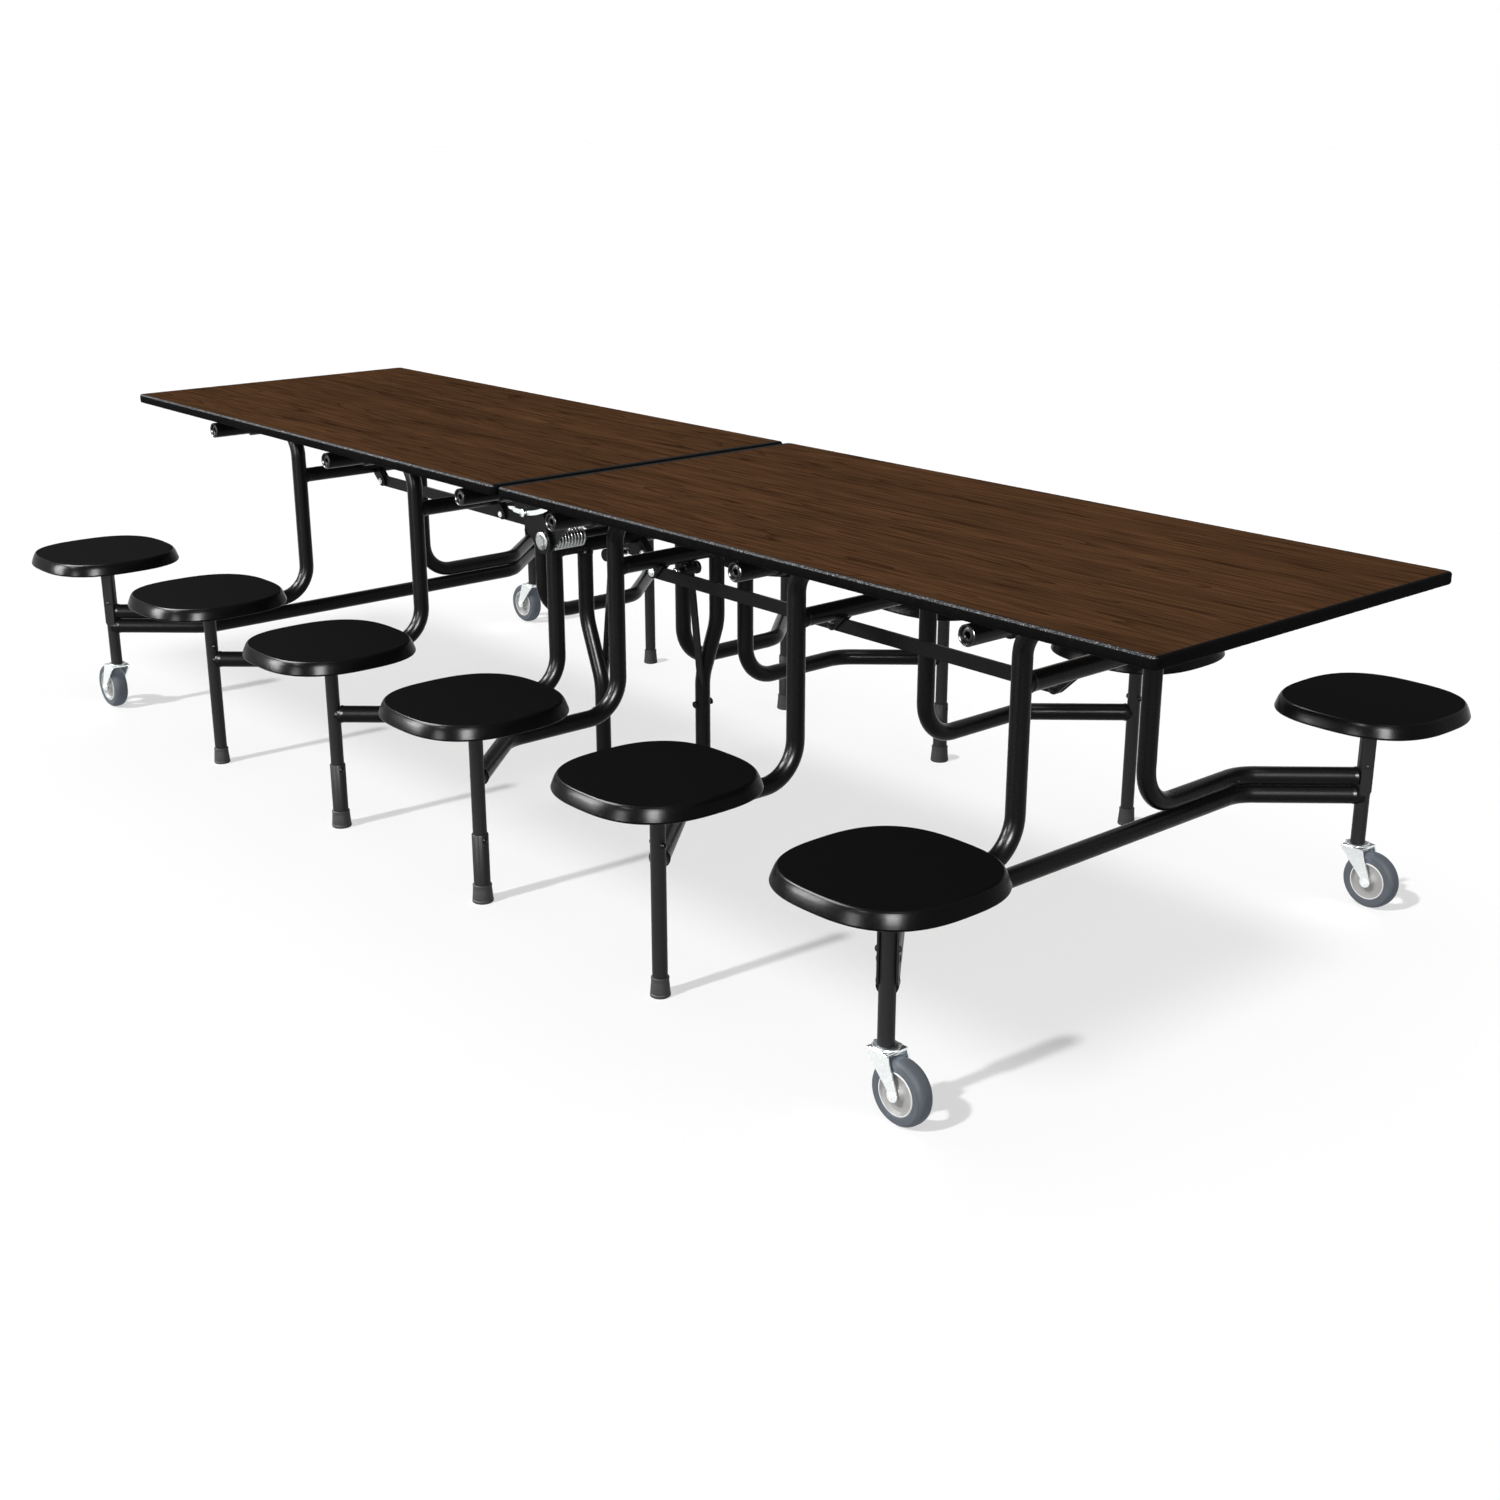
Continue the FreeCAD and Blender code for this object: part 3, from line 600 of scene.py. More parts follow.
def rounded_outline(low, high, radius, spacing):
    """Rounded rectangle in plan, with points about the given spacing apart along its straights."""
    corners = ((high[0], high[1], 0), (low[0], high[1], 1), (low[0], low[1], 2), (high[0], low[1], 3))
    arcs = []
    for x, y, quarter in corners:
        centre = np.array([x - radius * np.sign(x - (low[0] + high[0]) / 2), y - radius * np.sign(y)])
        arcs.append(centre + radius * arc(np.pi / 2 * (quarter + np.linspace(0, 1, 9))))
    line = np.concatenate(arcs + [arcs[0][:1]])
    return add_stations(line, np.arange(0, step_lengths(line).sum(), spacing), 6)[0][:-1]


def outward(outline):
    """Unit normals of a closed outline that runs anticlockwise."""
    along = np.roll(outline, -1, axis=0) - np.roll(outline, 1, axis=0)
    return unit(np.stack([along[:, 1], -along[:, 0]], -1))


def edge_width(outline):
    """How far the edge laps in from each point of a board's outline: wider where the two boards meet."""
    lap, seam_lap = 7 * MM, 9 * MM
    return lap + seam_lap * np.clip(-outward(outline)[:, 0], 0, 1)


def build_tops():
    """Laminate boards, and the edge: a rounded section carried round each board and roughened by noise."""
    corner, section = 12 * MM, 4.5 * MM
    draws = np.random.default_rng(7)
    border = rounded_outline(TOP_LOW[:2], TOP_HIGH[:2], corner, 200 * MM)
    inner = border - outward(border) * edge_width(border)[:, None]
    levels = (UNDERSIDE, UNDERSIDE + 0.5 * MM, TOP_HIGH[2])
    board = skin(lifted(np.array([inner] * len(levels)), levels))
    outline = rounded_outline(TOP_LOW[:2], TOP_HIGH[:2], corner, 2.5 * MM)
    high = (arc(np.linspace(np.pi / 2, 0, 6)) - 1) * section
    depth = np.concatenate([[[0, 0]], high, np.flip(high * (1, -1), 0), [[0, 0]]])
    level = np.repeat((TOP_HIGH[2], UNDERSIDE), len(high) + 1) + depth[:, 1]
    for side, way in SIDES.items():
        piece(side + "_laminate_board", [board], side + "_top", "walnut_laminate", walnut_laminate(),
              [side + "_top_panel"], way)
        grain = -sizes().edge_grain * draws.random((len(depth), len(outline)))
        grain[[0, -1]] = -edge_width(outline)
        rings = lifted(outline + outward(outline) * (depth[:, :1] + grain)[..., None], level)
        # The long edges' upper rounding takes the ridge finish with its painted glints.
        piece(side + "_edge_moulding", [skin(rings, True)], side + "_top", "edge_polymer", edge_polymer(),
              [side + "_top_edge"], way, 80, (edge_ridge_painted_glints(), on_long_ridge))


def on_long_ridge(centres):
    """Faces on the upper rounding of the two long edges, where the glints are painted."""
    depth, inset = 3.4 * MM, 5.2 * MM
    high = centres[:, 2] > TOP_HIGH[2] - depth
    return high & (np.abs(centres[:, 1]) > TOP_HIGH[1] - inset)


def arm_points(name, turn):
    """Corners of a stool arm: stool post, frame bend, floor bend, neck bend and pivot tube."""
    x, z = frame_x(name), ARM_Z[name]
    return (
        (x + SEAT_REACH, turn * SEAT_Y, z),
        (x, turn * BEND_Y, z),
        (x, turn * POST_Y, z),
        (x, turn * POST_Y, NECK_Z),
        (x + POST_REACH, turn * POST_Y, PIVOT_AXES[name][2]),
    )


def build_frames():
    """Bent arm tubes, cross tubes, pivot tubes and lower bars of the six frames, with weld beads."""
    coat = ("black_powder_coat", powder_coat())
    post_weld, arm_end = 15 * MM, 12 * MM
    welds = (post_weld, -PIVOT_RADIUS)
    for side, way in SIDES.items():
        for name in FRAMES:
            label = "%s_%s_" % (side, name)
            routes = [arm_points(name, turn) for turn in (-1, 1)]
            arms = [welded_tube(route, ARM_BENDS, TUBE_RADIUS, welds, arm_end) for route in routes]
            piece(label + "arm_tubes", arms, label + "frame", *coat, [label + "arms"], way)
            build_cross_tube(label, name, way, coat)
            build_pivot_tube(label, name, way, coat)
        x = frame_x("end")
        corners = ((x + SEAT_REACH, -SEAT_Y), (x, -BEND_Y), (x, BEND_Y), (x + SEAT_REACH, SEAT_Y))
        route = [(a, b, LOWER_BAR_Z) for a, b in corners]
        bar = welded_tube(route, ARM_BENDS[:1] * 2, TUBE_RADIUS, (post_weld, -post_weld))
        piece(side + "_end_lower_tube", [bar], side + "_end_frame", *coat, [side + "_lower_bar"], way)


def build_cross_tube(label, name, way, coat):
    """Cross tube between the posts, with the link's two tabs and its pin: a domed head and a nut."""
    x, body = frame_x(name), label + "frame"
    ends = ((x, -POST_Y, CROSS_Z), (x, POST_Y, CROSS_Z))
    tube = welded_tube(ends, (), TUBE_RADIUS, (TUBE_RADIUS, -TUBE_RADIUS))
    pin = link_pin(name)
    outline = joined_discs((x, CROSS_Z - 4 * MM), 13 * MM, pin[[0, 2]], 12.5 * MM)
    tabs = [plate(outline, pin[1] + low, pin[1] + low + 5 * MM) for low in (-8.5 * MM, 3.5 * MM)]
    piece(label + "cross_tube_and_tabs", [tube] + tabs, body, *coat, [label + "cross_tube"], way)
    zinc = ("zinc_plate", bright_zinc())
    nut = hexagon(13 * MM, 8.5 * MM, 13 * MM, pin, "y")
    tip = turned_solid(mm((5, 0), (5, 14.4), (4, 15), (0.1, 15)), pin, "y", 20)
    piece(label + "link_nut", [nut, tip], body, *zinc, way=way)
    dome = mm((0.1, -13.4), (4, -13), (7, -11.4), (9, -9.2), (9, -8.5), (5, -8.4))
    finished = zinc if name == "inner" else coat
    piece(label + "link_bolt_head", [turned_solid(dome, pin, "y")], body, *finished, way=way)


def build_pivot_tube(label, name, way, coat):
    """Pivot tube: a turned profile with rolled rims and a plugged, drilled end."""
    plug = mm((0.2, 24), (5.2, 24), (5.2, 4), (6.4, 2.8), (9.5, 2.8))
    roll = mm((-4.2, 4), (-3.6, 1.2), (-2.4, 0), (-0.9, 0), (0, 1.1)) + (PIVOT_RADIUS, 0)
    rim = np.concatenate([plug, roll]) - (0, PIVOT_END)
    tube = turned_solid(both_ways(rim), PIVOT_AXES[name] * (1, 0, 1), "y", 48)
    piece(label + "pivot_roll", [tube], label + "frame", *coat, [label + "pivot_tube"], way,
          accent=(rubbed_coat(), on_pivot_rim))


def on_pivot_rim(centres):
    """Faces on the rolled rims at a pivot tube's ends."""
    return np.abs(centres[:, 1]) > PIVOT_END - 3 * MM


def seat_surface(x, y):
    """Seat: a rounded square |u|^n + |v|^n = 1, scaled by a profile from the dish over the rim to the
    underside."""
    drop, lip = SEAT_TOP - SEAT_LOW, 6 * MM
    dish = np.array(((0.002, 1), (0.50, 0.9), (0.80, 0.4), (0.895, 0.05), (0.918, 0)))
    side = np.array(((0.932, 0.5), (0.944, 1.9), (0.953, 3.8), (0.968, 8.2), (0.984, 14.5), (0.996, 20),
                     (1.0, 22.6), (0.993, 25)))
    profile = [dish * (1, -sizes().seat_dish), side * (1, -MM), [(0.972, -drop)]]
    curve = smooth_line(np.concatenate(profile), 5)
    curve[:, 0] = np.minimum(curve[:, 0], 1.0)
    curve[:, 1] = np.clip(curve[:, 1], -drop, 0)
    under = [(0.93, -drop), (0.92, lip - drop), (0.50, lip - drop), (0.49, -drop), (0.002, -drop)]
    curve = np.concatenate([curve, under])
    ring = circle(120)
    radius = (np.abs(ring) ** SEAT_POWER).sum(1, keepdims=True) ** (-1 / SEAT_POWER) * SEAT_HALF
    points, faces = skin(lifted(radius * ring * curve[:, None, :1], SEAT_TOP + curve[:, 1]))
    return points + (x, y, 0), faces


def post_profile(name, low, plate_low):
    """Outline of a stool post: foot end, an adjuster's step on the inner frames, and the plate's weld."""
    r, adjuster, step = POST_RADIUS, 15 * MM, 130 * MM
    base = [(r, low)]
    if name == "inner":
        base = [(adjuster, low), (adjuster, step - 1.2 * MM), (adjuster - 0.8 * MM, step), (r, step)]
    head = [(r, plate_low - 6 * MM), (r + 3 * MM, plate_low), (0.2 * MM, plate_low)]
    return [(0.2 * MM, low)] + base + head


def post_cheeks(x, y):
    """Two cheek plates that clasp an end post, rounded at the foot and square to the arms, and their bolt."""
    half, low, high, bolt_z = 10.5 * MM, 214 * MM, SEAT_LOW - 5 * MM, 258 * MM
    foot = half * arc(np.linspace(np.pi, 2 * np.pi, 17)) + (0, low)
    outline = np.concatenate([foot, [(half, high), (-half, high)]])
    lean = np.arctan2(-np.sign(y) * (SEAT_Y - BEND_Y), -SEAT_REACH)
    spin = np.array([[np.cos(lean), np.sin(lean), 0], [-np.sin(lean), np.cos(lean), 0], [0, 0, 1]])
    shapes = [plate(outline, *gap) for gap in mm((-15.6, -12.4), (12.4, 15.6))]
    dome = mm((0.1, 19), (2.4, 18.6), (4.4, 17.2), (5, 15.4))
    shapes.append(turned_solid(both_ways(dome), (0, 0, bolt_z), "y", 20))
    return [(points @ spin + (x, y, 0), faces) for points, faces in shapes]


def build_stools():
    """Seats, posts with their plates and cheeks, feet, and the bolts on the posts."""
    plate_low = SEAT_LOW - 4 * MM
    disc = mm((0.2, 0), (64, 0), (65, 1), (65, 3.8), (0.2, 4)) + (0, plate_low)
    coat = ("black_powder_coat", post_coat_painted_light())
    for side, way in SIDES.items():
        for name in FRAMES:
            label = "%s_%s_" % (side, name)
            body = label + "frame"
            spots = [(frame_x(name) + SEAT_REACH, turn * SEAT_Y) for turn in (-1, 1)]
            seats = [seat_surface(*spot) for spot in spots]
            piece(label + "moulded_seats", seats, body, "seat_plastic", seat_plastic(), [label + "seats"],
                  way, 60, (polished_plastic(), on_seat_side))
            profile = post_profile(name, node_box(label + "seat_posts")[0][2], plate_low)
            for spot in spots:
                word = "near" if spot[1] * way < 0 else "far"
                parts = [turned_solid(profile, (*spot, 0), "z", 48)]
                if name == "end":
                    parts += post_cheeks(*spot)
                piece(label + word + "_stool_post", parts, body, *coat, [label + "seat_posts"], way)
            plates = [turned_solid(disc, (*spot, 0)) for spot in spots]
            piece(label + "seat_plates", plates, body, *coat, [label + "seat_posts"], way)
            build_post_bolts(label, name, way, spots)
            if name != "end":
                build_feet(label, name, way, spots)


def on_seat_side(centres):
    """Faces below the rim of a seat."""
    return centres[:, 2] < SEAT_TOP - sizes().seat_dish - 0.1 * MM


def build_post_bolts(label, name, way, spots):
    """Cross bolts through the inner and middle posts, and four screws up into each seat."""
    heights = {"inner": 120 * MM, "middle": 262 * MM}
    screw_circle = 46 * MM
    bolt = both_ways(mm((0.1, 18.6), (2.4, 18.2), (4.4, 16.8), (5, 15.2)))
    screw = mm((0.1, -2.6), (3, -2.2), (4.4, -0.8), (4.5, 0.3)) + (0, SEAT_LOW - 4 * MM)
    parts = []
    for spot in spots:
        if name in heights:
            parts.append(turned_solid(bolt, (*spot, heights[name]), "x", 20))
        for place in spot + screw_circle * arc(np.pi / 4 + np.arange(4) * np.pi / 2):
            parts.append(turned_solid(screw, (*place, 0), "z", 16))
    piece(label + "post_bolts", parts, label + "frame", "black_powder_coat", powder_coat(), way=way)


def foot_profile(leg):
    """Rubber foot for a leg of the given radius: a flared cup with a bead at its mouth and a grooved sole."""
    sole = mm((3.0, 0), (4.2, 1.2), (4.2, 5), (3.4, 6), (3.7, 8))
    cup = mm((2.3, 24), (2.0, 29), (2.4, 31), (2.2, 33.4), (0.6, 34), (-0.5, 34))
    return np.concatenate([mm((0.2, 0)), np.concatenate([sole, cup]) + (leg, 0)])


def build_feet(label, name, way, spots):
    """Rubber feet of a frame; an inner frame's node also holds the centre leg's foot."""
    legs = [(a, b, 15 * MM if name == "inner" else POST_RADIUS) for a, b in spots]
    if name == "inner":
        legs.append((frame_x(name) - CENTRE_LEG_SHIFT, CENTRE_LEG_Y, CENTRE_LEG_RADIUS))
    feet = [turned_solid(foot_profile(r), (a, b, 0)) for a, b, r in legs]
    piece(label + "rubber_feet", feet, label + "frame", "foot_rubber", foot_rubber(), [label + "feet"], way)


def build_centre():
    """Centre legs with their braces, bolts and knuckles, the link bars, the hinge shaft and the springs."""
    coat = ("black_powder_coat", powder_coat())
    zinc = ("zinc_plate", bright_zinc("grey zinc plate", 0.5))
    x = frame_x("inner")
    low_x, brace_low = x - CENTRE_LEG_SHIFT, 187 * MM
    corners = ((x, CROSS_Z), (x, CROSS_Z - 151 * MM), (low_x, CROSS_Z - 276 * MM), (low_x, 9 * MM))
    route = [(a, CENTRE_LEG_Y, b) for a, b in corners]
    leg = welded_tube(route, (LEG_BEND,) * 2, CENTRE_LEG_RADIUS, (TUBE_RADIUS,))
    brace_ends = ((x, 18 * MM, CROSS_Z - 8 * MM), (low_x, CENTRE_LEG_Y, brace_low))
    brace = flat_bar(*brace_ends, (1, 0, 0), 20 * MM, 4 * MM)
    bolts = []
    for turn in (-1, 1):
        base = (low_x, CENTRE_LEG_Y + turn * CENTRE_LEG_RADIUS, brace_low)
        bolts.append(hexagon(13 * MM, -turn * MM, turn * 7 * MM, base, "y"))
    for side, way in SIDES.items():
        body = side + "_inner_frame"
        piece(side + "_centre_leg_tube", [leg, brace], body, *coat, [side + "_centre_leg"], way)
        piece(side + "_centre_leg_bolt", bolts, body, *coat, way=way)
        build_knuckle(side, way, body, coat, zinc)
        build_link(side, way, coat)
    build_shaft(coat, zinc)
    build_springs(zinc)


def build_knuckle(side, way, body, coat, zinc):
    """Knuckle that holds the brace under the inner cross tube: a beaded sleeve, its strap and its bolt."""
    base = (frame_x("inner"), 20 * MM, CROSS_Z - 31 * MM)
    sleeve = both_ways(mm((5, -20), (11, -20), (13, -18), (13, -12), (11.6, -11)))
    bead = turned_solid(sleeve, base, "y", 32)
    strap = flat_bar(base, (base[0], base[1], CROSS_Z), (0, 1, 0), 22 * MM, 6 * MM)
    shank = turned_solid(mm((5, -34), (5, -19)), base, "y", 20)
    piece(side + "_brace_knuckle", [bead, strap, shank], body, *coat, way=way)
    dome = mm((0.1, -42), (3.6, -41.2), (6.4, -38.6), (7.4, -35.4), (7.4, -33), (4, -32.8))
    piece(side + "_brace_bolt", [turned_solid(dome, base, "y", 28)], body, *zinc, way=way)


def build_link(side, way, coat):
    """Link bar: two discs and their tangents, as a plate with broken edges."""
    outline = joined_discs(link_pin("inner")[[0, 2]], 12.5 * MM, LINK_PIN[[0, 2]], 12.499 * MM)
    bar = plate(outline, *(LINK_PIN[1] + mm(-3, 3)))
    piece(side + "_link_strip", [bar], side + "_link", *coat, [side + "_link_bar"], way)


def build_shaft(coat, zinc):
    """Black hinge shaft, and the zinc bolt at each end: a dished washer and a hexagon head."""
    end = 261 * MM
    shaft = turned_solid([(8 * MM, -end), (8 * MM, end)], (0, 0, HINGE[2]), "y")
    piece("hinge_axle", [shaft], "left_top", *coat, ["hinge_shaft"])
    washer = mm((4, -0.5), (16.5, -0.4), (18, 0.6), (17.4, 2), (12, 3.2), (4, 3.4))
    parts = []
    for turn in (-1, 1):
        base = (0, turn * end, HINGE[2])
        parts.append(turned_solid(washer * (1, turn), base, "y"))
        parts.append(hexagon(21 * MM, turn * 2 * MM, turn * 6.6 * MM, base, "y", 0.9 * MM))
    piece("hinge_bolts", parts, "left_top", *zinc)


def build_springs(zinc):
    """Torsion springs: a helix round the shaft, each with a leg up to the top that it lifts."""
    mean, pitch, turns, first, wire = 20.5 * MM, 7.4 * MM, 9, 238 * MM, 1.8 * MM
    turn = np.linspace(0, turns, turns * 28 + 1)
    angle = 2 * np.pi * turn
    helix = np.stack([mean * np.cos(angle), first - pitch * turn, HINGE[2] + mean * np.sin(angle)], -1)
    leg = helix[-1] + (UNDERSIDE - 0.4 * MM - HINGE[2]) * np.array([0, -pitch / (2 * np.pi * mean), 1])
    tail = helix[0] - (0, 0, 5 * MM)
    coil = swept(np.concatenate([[tail], helix, [leg]]), wire, 14)
    for side, way in SIDES.items():
        piece(side + "_lift_spring", [coil], side + "_top", *zinc, ["lift_springs"], way, 60)


def build_casters():
    """Tyres, hubs and forks of the four casters."""
    other = {"near": "far", "far": "near"}
    for side, way in SIDES.items():
        for word in other:
            swivel, axle = joint_place("right_%s_swivel" % word), joint_place("right_%s_roll" % word)
            label = "%s_%s_" % (side, other[word] if side == "left" else word)
            build_wheel(label + "caster", way, axle, label + "wheel")
            build_fork(label + "caster", way, swivel, axle, label + "fork")


def build_wheel(label, way, axle, body):
    """Tyre with a stepped shoulder and rounded tread, and a hub with a dished web, a lip with a painted
    highlight ring, and boss.
    """
    half, radius, lip = 15 * MM, 50.8 * MM, 31 * MM
    shoulder = mm((33.2, 2.0), (34.2, 0.9), (36, 0.3), (44.4, 0.2), (45.2, 0.7), (45.7, 1.4))
    tread = mm((47.4, 2.6), (49.4, 5.4), (50.5, 9), (50.8, 12.6))
    ring = smooth_line(both_ways(np.concatenate([shoulder, tread]) - (0, half)), 3)
    ring[:, 0] = np.minimum(ring[:, 0], radius)
    tyre = turned_solid(ring, axle, "y", 72, True)
    piece(label + "_tyre", [tyre], body, "tyre_rubber", tyre_rubber(), [label + "_wheel"], way, 50)
    boss = mm((5.1, 0), (10, 0), (11, 0.8), (12, 3.6), (13.6, 5.6), (17, 6.6), (24, 7.4))
    rim = mm((28.4, 6.6), (29.8, 4.4), (30.6, 1.6), (31.4, 0.6), (33.0, 0.6), (33.6, 1.6))
    web = both_ways(np.concatenate([boss, rim]) - (0, half))
    centre = axle * (way, way, 1)

    def on_lip(centres):
        """Faces on the outer lip of the hub, where the highlight ring is painted."""
        return np.hypot(*(centres - centre)[:, [0, 2]].T) > lip

    hub = turned_solid(web, axle, "y", 64, True)
    # The lip's paler colour is a painted highlight ring; its extra smoothness is real.
    piece(label + "_hub", [hub], body, "tyre_rubber", hub_plastic(), [label + "_wheel"], way, 40,
          (hub_lip_painted_highlight(), on_lip))


def build_fork(label, way, swivel, axle, body):
    """Zinc fork: tapered legs with round ends, a shelf, a six-sided race under a disc, a stem and an
    axle with riveted ends."""
    inside, gauge = 18 * MM, 3.5 * MM
    low, shelf, top = 105 * MM, 108.5 * MM, 111.6 * MM
    back, front, eye = swivel[0] - 20 * MM, swivel[0] + 24 * MM, 10 * MM
    end = axle[[0, 2]] + eye * arc(np.radians(np.linspace(18, -205, 24)))
    bend = mm((0, -4), (1.2, -1.2), (4, 0))
    shoulder = np.concatenate([bend + (back, shelf), np.flip(bend * (-1, 1), 0) + (front, shelf)])
    outline = np.concatenate([shoulder, end])
    legs = swivel[1] + np.array(((-inside - gauge, -inside), (inside, inside + gauge)))
    parts = [plate(outline, *leg) for leg in legs]
    reach = inside + gauge - 0.4 * MM
    ends = [(swivel[0] + 2 * MM, swivel[1] + turn * reach, (low + shelf) / 2) for turn in (-1, 1)]
    base = (swivel[0], swivel[1], 0)
    disc = mm((0.2, 110), (18.4, 110), (19.6, 110.5), (19.6, 111.1), (18.6, 111.6), (0.2, 111.6))
    parts += [
        flat_bar(*ends, (1, 0, 0), 43 * MM, gauge),
        hexagon(42 * MM, shelf - 0.2 * MM, shelf + 1.7 * MM, base, bevel=0.8 * MM),
        turned_solid(disc, base, "z", 48),
        turned_solid([(6 * MM, top - 1 * MM), (6 * MM, top + 38 * MM)], base),
        turned_solid([(5 * MM, -inside - 1 * MM), (5 * MM, inside + 1 * MM)], axle, "y", 24),
    ]
    rivet = mm((4.6, -0.6), (5.6, 0), (5.6, 1), (4.8, 2), (2.2, 2.2), (1.6, 0.9), (0.1, 0.9))
    rivet = rivet + (0, inside + gauge)
    parts += [turned_solid(rivet * (1, turn), axle, "y", 24) for turn in (-1, 1)]
    # The crown's upward faces take zinc painted dark, as a painted dark reflection.
    piece(label + "_fork_assembly", parts, body, "zinc_plate", bright_zinc(), [label + "_fork"], way,
          accent=(zinc_painted_dark_reflection(), on_crown))


def on_crown(centres):
    """Upward faces of a fork's shelf, race and disc, where the dark reflection is painted."""
    levels, near = mm(108.5, 110.2, 111.6), 0.06 * MM
    return (np.abs(centres[:, 2:] - levels) < near).any(axis=1)


def build_brackets():
    """Finish of the saddles, hinge plates and latch lever, with the screws that hold the brackets."""
    head = mm((0.1, -2.8), (3, -2.4), (4.6, -1), (4.8, 0.3)) + (0, UNDERSIDE - 4 * MM)
    zinc = ("zinc_plate", bright_zinc())
    corners = mm((-29, -295, 0), (29, -295, 0), (-29, 295, 0), (29, 295, 0))
    places = [(axis[0], 0, 0) + corner for axis in PIVOT_AXES.values() for corner in corners]
    screws = [turned_solid(head, place, "z", 16) for place in places]
    for side, way in SIDES.items():
        for name in ("_pivot_saddles", "_hinge_plates"):
            paint(side + name, powder_coat())
        piece(side + "_saddle_screws", screws, side + "_top", *zinc, way=way)
    paint("latch_lever", bright_zinc())
    cap = mm((8.0, -2.6), (8.2, -6.8), (7.6, -7.6), (4, -8.4), (0.1, -8.6))
    shell = turned_solid(cap, joint_place("latch_lift"), "y", 28)
    piece("latch_pin_cap", [shell], "left_top", *zinc)


def paint(name, material):
    """Gives a frame node a finish."""
    mesh = frame["nodes"][name].data
    mesh.materials.clear()
    mesh.materials.append(material)


def seen_directly(tree):
    """One for camera, transmission and glossy rays, and zero for the rays that light the object."""
    path = node(tree, "ShaderNodeLightPath").outputs
    shown = path["Is Camera Ray"]
    for kind in ("Is Transmission Ray", "Is Glossy Ray"):
        either = node(tree, "ShaderNodeMath", {"operation": "MAXIMUM"}, links={0: shown, 1: path[kind]})
        shown = either.outputs[0]
    return shown


def away(azimuth, elevation):
    """Direction from the table at an azimuth from the front and an elevation, both in degrees."""
    turn, rise = math.radians(azimuth), math.radians(elevation)
    level = math.cos(rise)
    return Vector((math.sin(turn) * level, -math.cos(turn) * level, math.sin(rise)))


def stand(name, data, turn, place=(0, 0, 0)):
    """Puts a lamp or camera in the scene, turned and placed."""
    item = bpy.data.objects.new(name, data)
    item.rotation_euler = turn.to_euler()
    item.location = place
    bpy.context.scene.collection.objects.link(item)
    return item


def light_world(scene):
    """World that lights the object softly and that the camera and reflections see as white."""
    world = bpy.data.worlds.new("white studio")
    scene.world = world
    world.use_nodes = True
    tree = world.node_tree
    tones = {"A": (WORLD_LIGHT, WORLD_LIGHT, WORLD_LIGHT, 1), "B": (1, 1, 1, 1)}
    node(tree, "ShaderNodeMix", {"data_type": "RGBA"}, tones, {"Factor": seen_directly(tree)},
         feeds={"Result": tree.nodes["Background"].inputs["Color"]})


def lay_floor(scene):
    """White floor that takes the shadows and is lifted towards white where it is seen."""
    mesh = bpy.data.meshes.new("floor")
    corners = FLOOR_REACH * np.array(((-1, -1, 0), (1, -1, 0), (1, 1, 0), (-1, 1, 0)))
    mesh.from_pydata(corners.tolist(), [], [(0, 1, 2, 3)])
    floor = bpy.data.objects.new("floor", mesh)
    scene.collection.objects.link(floor)
    values = {"Base Color": (0.9, 0.9, 0.9, 1), "Roughness": 0.9, "Specular IOR Level": 0.0}
    material, tree, shader, _ = finish("white floor", values)
    glow = node(tree, "ShaderNodeEmission").outputs["Emission"]
    share = node(tree, "ShaderNodeMath", {"operation": "MULTIPLY"}, {1: FLOOR_GLOW}, {0: seen_directly(tree)})
    node(tree, "ShaderNodeMixShader", links={0: share.outputs[0], 1: shader.outputs["BSDF"], 2: glow},
         feeds={"Shader": tree.nodes["Material Output"].inputs["Surface"]})
    mesh.materials.append(material)


def hang_lamps(scene):
    """Two suns, each shaded by its own pieces, and the softboxes, which light reflections only."""
    for name, (aim, energy, angle, words) in SUNS.items():
        sun = bpy.data.lights.new(name, "SUN")
        sun.energy = energy
        sun.angle = math.radians(angle)
        item = stand(name, sun, Vector(aim).to_track_quat("-Z", "Y"))
        shading = bpy.data.collections.new(name + " shading")
        for shown in scene.objects:
            if any(word in shown.name for word in words):
                shading.objects.link(shown)
        item.light_linking.blocker_collection = shading
    for name, (azimuth, elevation, width, height, power) in SOFTBOXES.items():
        lamp = bpy.data.lights.new(name, "AREA")
        lamp.shape = "RECTANGLE"
        lamp.size, lamp.size_y = width, height
        lamp.energy = power
        toward = away(azimuth, elevation)
        item = stand(name, lamp, toward.to_track_quat("Z", "Y"), SOFTBOX_AIM + SOFTBOX_DISTANCE * toward)
        item.visible_diffuse = item.visible_camera = False


def build_stage():
    """White floor and world, two suns, softboxes for the highlights, and the photograph's camera."""
    scene = bpy.context.scene
    scene.view_settings.view_transform = "Standard"
    light_world(scene)
    lay_floor(scene)
    hang_lamps(scene)
    camera = bpy.data.cameras.new("camera")
    camera.sensor_width = 36.0
    camera.lens = CAMERA_LENS
    camera.clip_end = 200
    scene.camera = stand("camera", camera, away(*CAMERA_ANGLES).to_track_quat("Z", "Y"), CAMERA_PLACE)


class BuildTops(bpy.types.Operator):
    """Build the laminate boards and their edges"""

    bl_idname = "stool_table.tops"
    bl_label = "Tops"

    def execute(self, context):
        build_tops()
        return {"FINISHED"}


class BuildFrames(bpy.types.Operator):
    """Build the tube frames"""

    bl_idname = "stool_table.frames"
    bl_label = "Frames"

    def execute(self, context):
        build_frames()
        return {"FINISHED"}


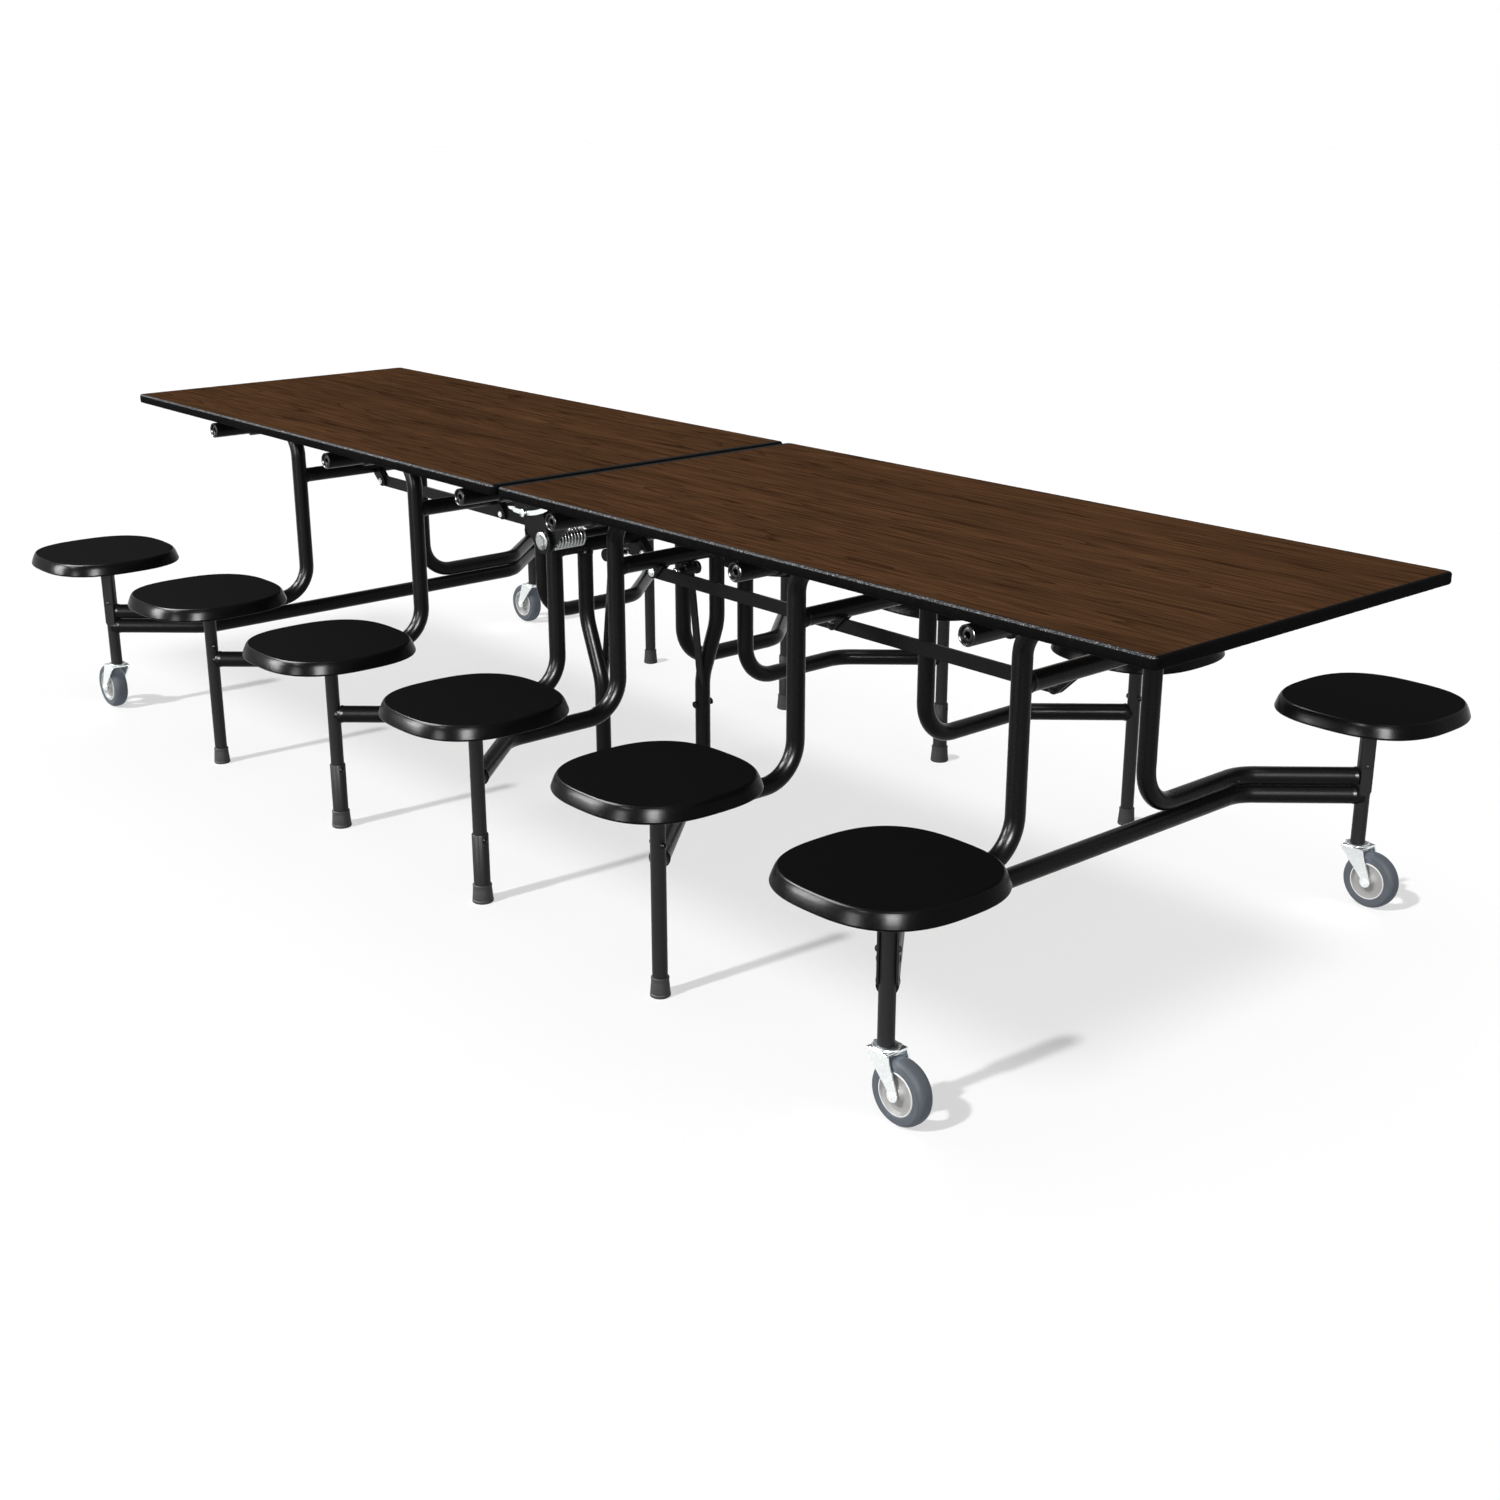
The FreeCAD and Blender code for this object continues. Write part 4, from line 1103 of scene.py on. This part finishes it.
class BuildStools(bpy.types.Operator):
    """Build the seats, posts and feet"""

    bl_idname = "stool_table.stools"
    bl_label = "Stools"

    def execute(self, context):
        build_stools()
        return {"FINISHED"}


class BuildCentre(bpy.types.Operator):
    """Build the centre legs, hinge, springs and links"""

    bl_idname = "stool_table.centre"
    bl_label = "Centre"

    def execute(self, context):
        build_centre()
        return {"FINISHED"}


class BuildCasters(bpy.types.Operator):
    """Build the casters"""

    bl_idname = "stool_table.casters"
    bl_label = "Casters"

    def execute(self, context):
        build_casters()
        return {"FINISHED"}


class BuildBrackets(bpy.types.Operator):
    """Finish the brackets and add their screws"""

    bl_idname = "stool_table.brackets"
    bl_label = "Brackets"

    def execute(self, context):
        build_brackets()
        return {"FINISHED"}


class BuildStage(bpy.types.Operator):
    """Build the floor, light and camera"""

    bl_idname = "stool_table.stage"
    bl_label = "Stage"

    def execute(self, context):
        build_stage()
        return {"FINISHED"}


OPERATORS = (BuildTops, BuildFrames, BuildStools, BuildCentre, BuildCasters, BuildBrackets, BuildStage)


class TablePanel(bpy.types.Panel):
    """Sidebar panel that lists the steps"""

    bl_idname = "VIEW3D_PT_stool_table"
    bl_label = "Stool table"
    bl_space_type = "VIEW_3D"
    bl_region_type = "UI"
    bl_category = "Stool table"

    def draw(self, context):
        """List the sizes, the colours and the steps."""
        for group in (sizes(), colours()):
            for name in group.__annotations__:
                self.layout.prop(group, name)
        for step in OPERATORS:
            self.layout.operator(step.bl_idname)


CLASSES = (TableSizes, TableColours, *OPERATORS, TablePanel)


def register():
    """Register the classes and the scene's properties."""
    for item in CLASSES:
        bpy.utils.register_class(item)
    bpy.types.Scene.stool_table_sizes = bpy.props.PointerProperty(type=TableSizes)
    bpy.types.Scene.stool_table_colours = bpy.props.PointerProperty(type=TableColours)


def unregister():
    """Remove the scene's properties and the classes."""
    del bpy.types.Scene.stool_table_colours
    del bpy.types.Scene.stool_table_sizes
    for item in reversed(CLASSES):
        bpy.utils.unregister_class(item)


def main():
    """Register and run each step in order."""
    register()
    for step in OPERATORS:
        group, name = step.bl_idname.split(".")
        getattr(getattr(bpy.ops, group), name)()


if __name__ == "__main__":
    main()
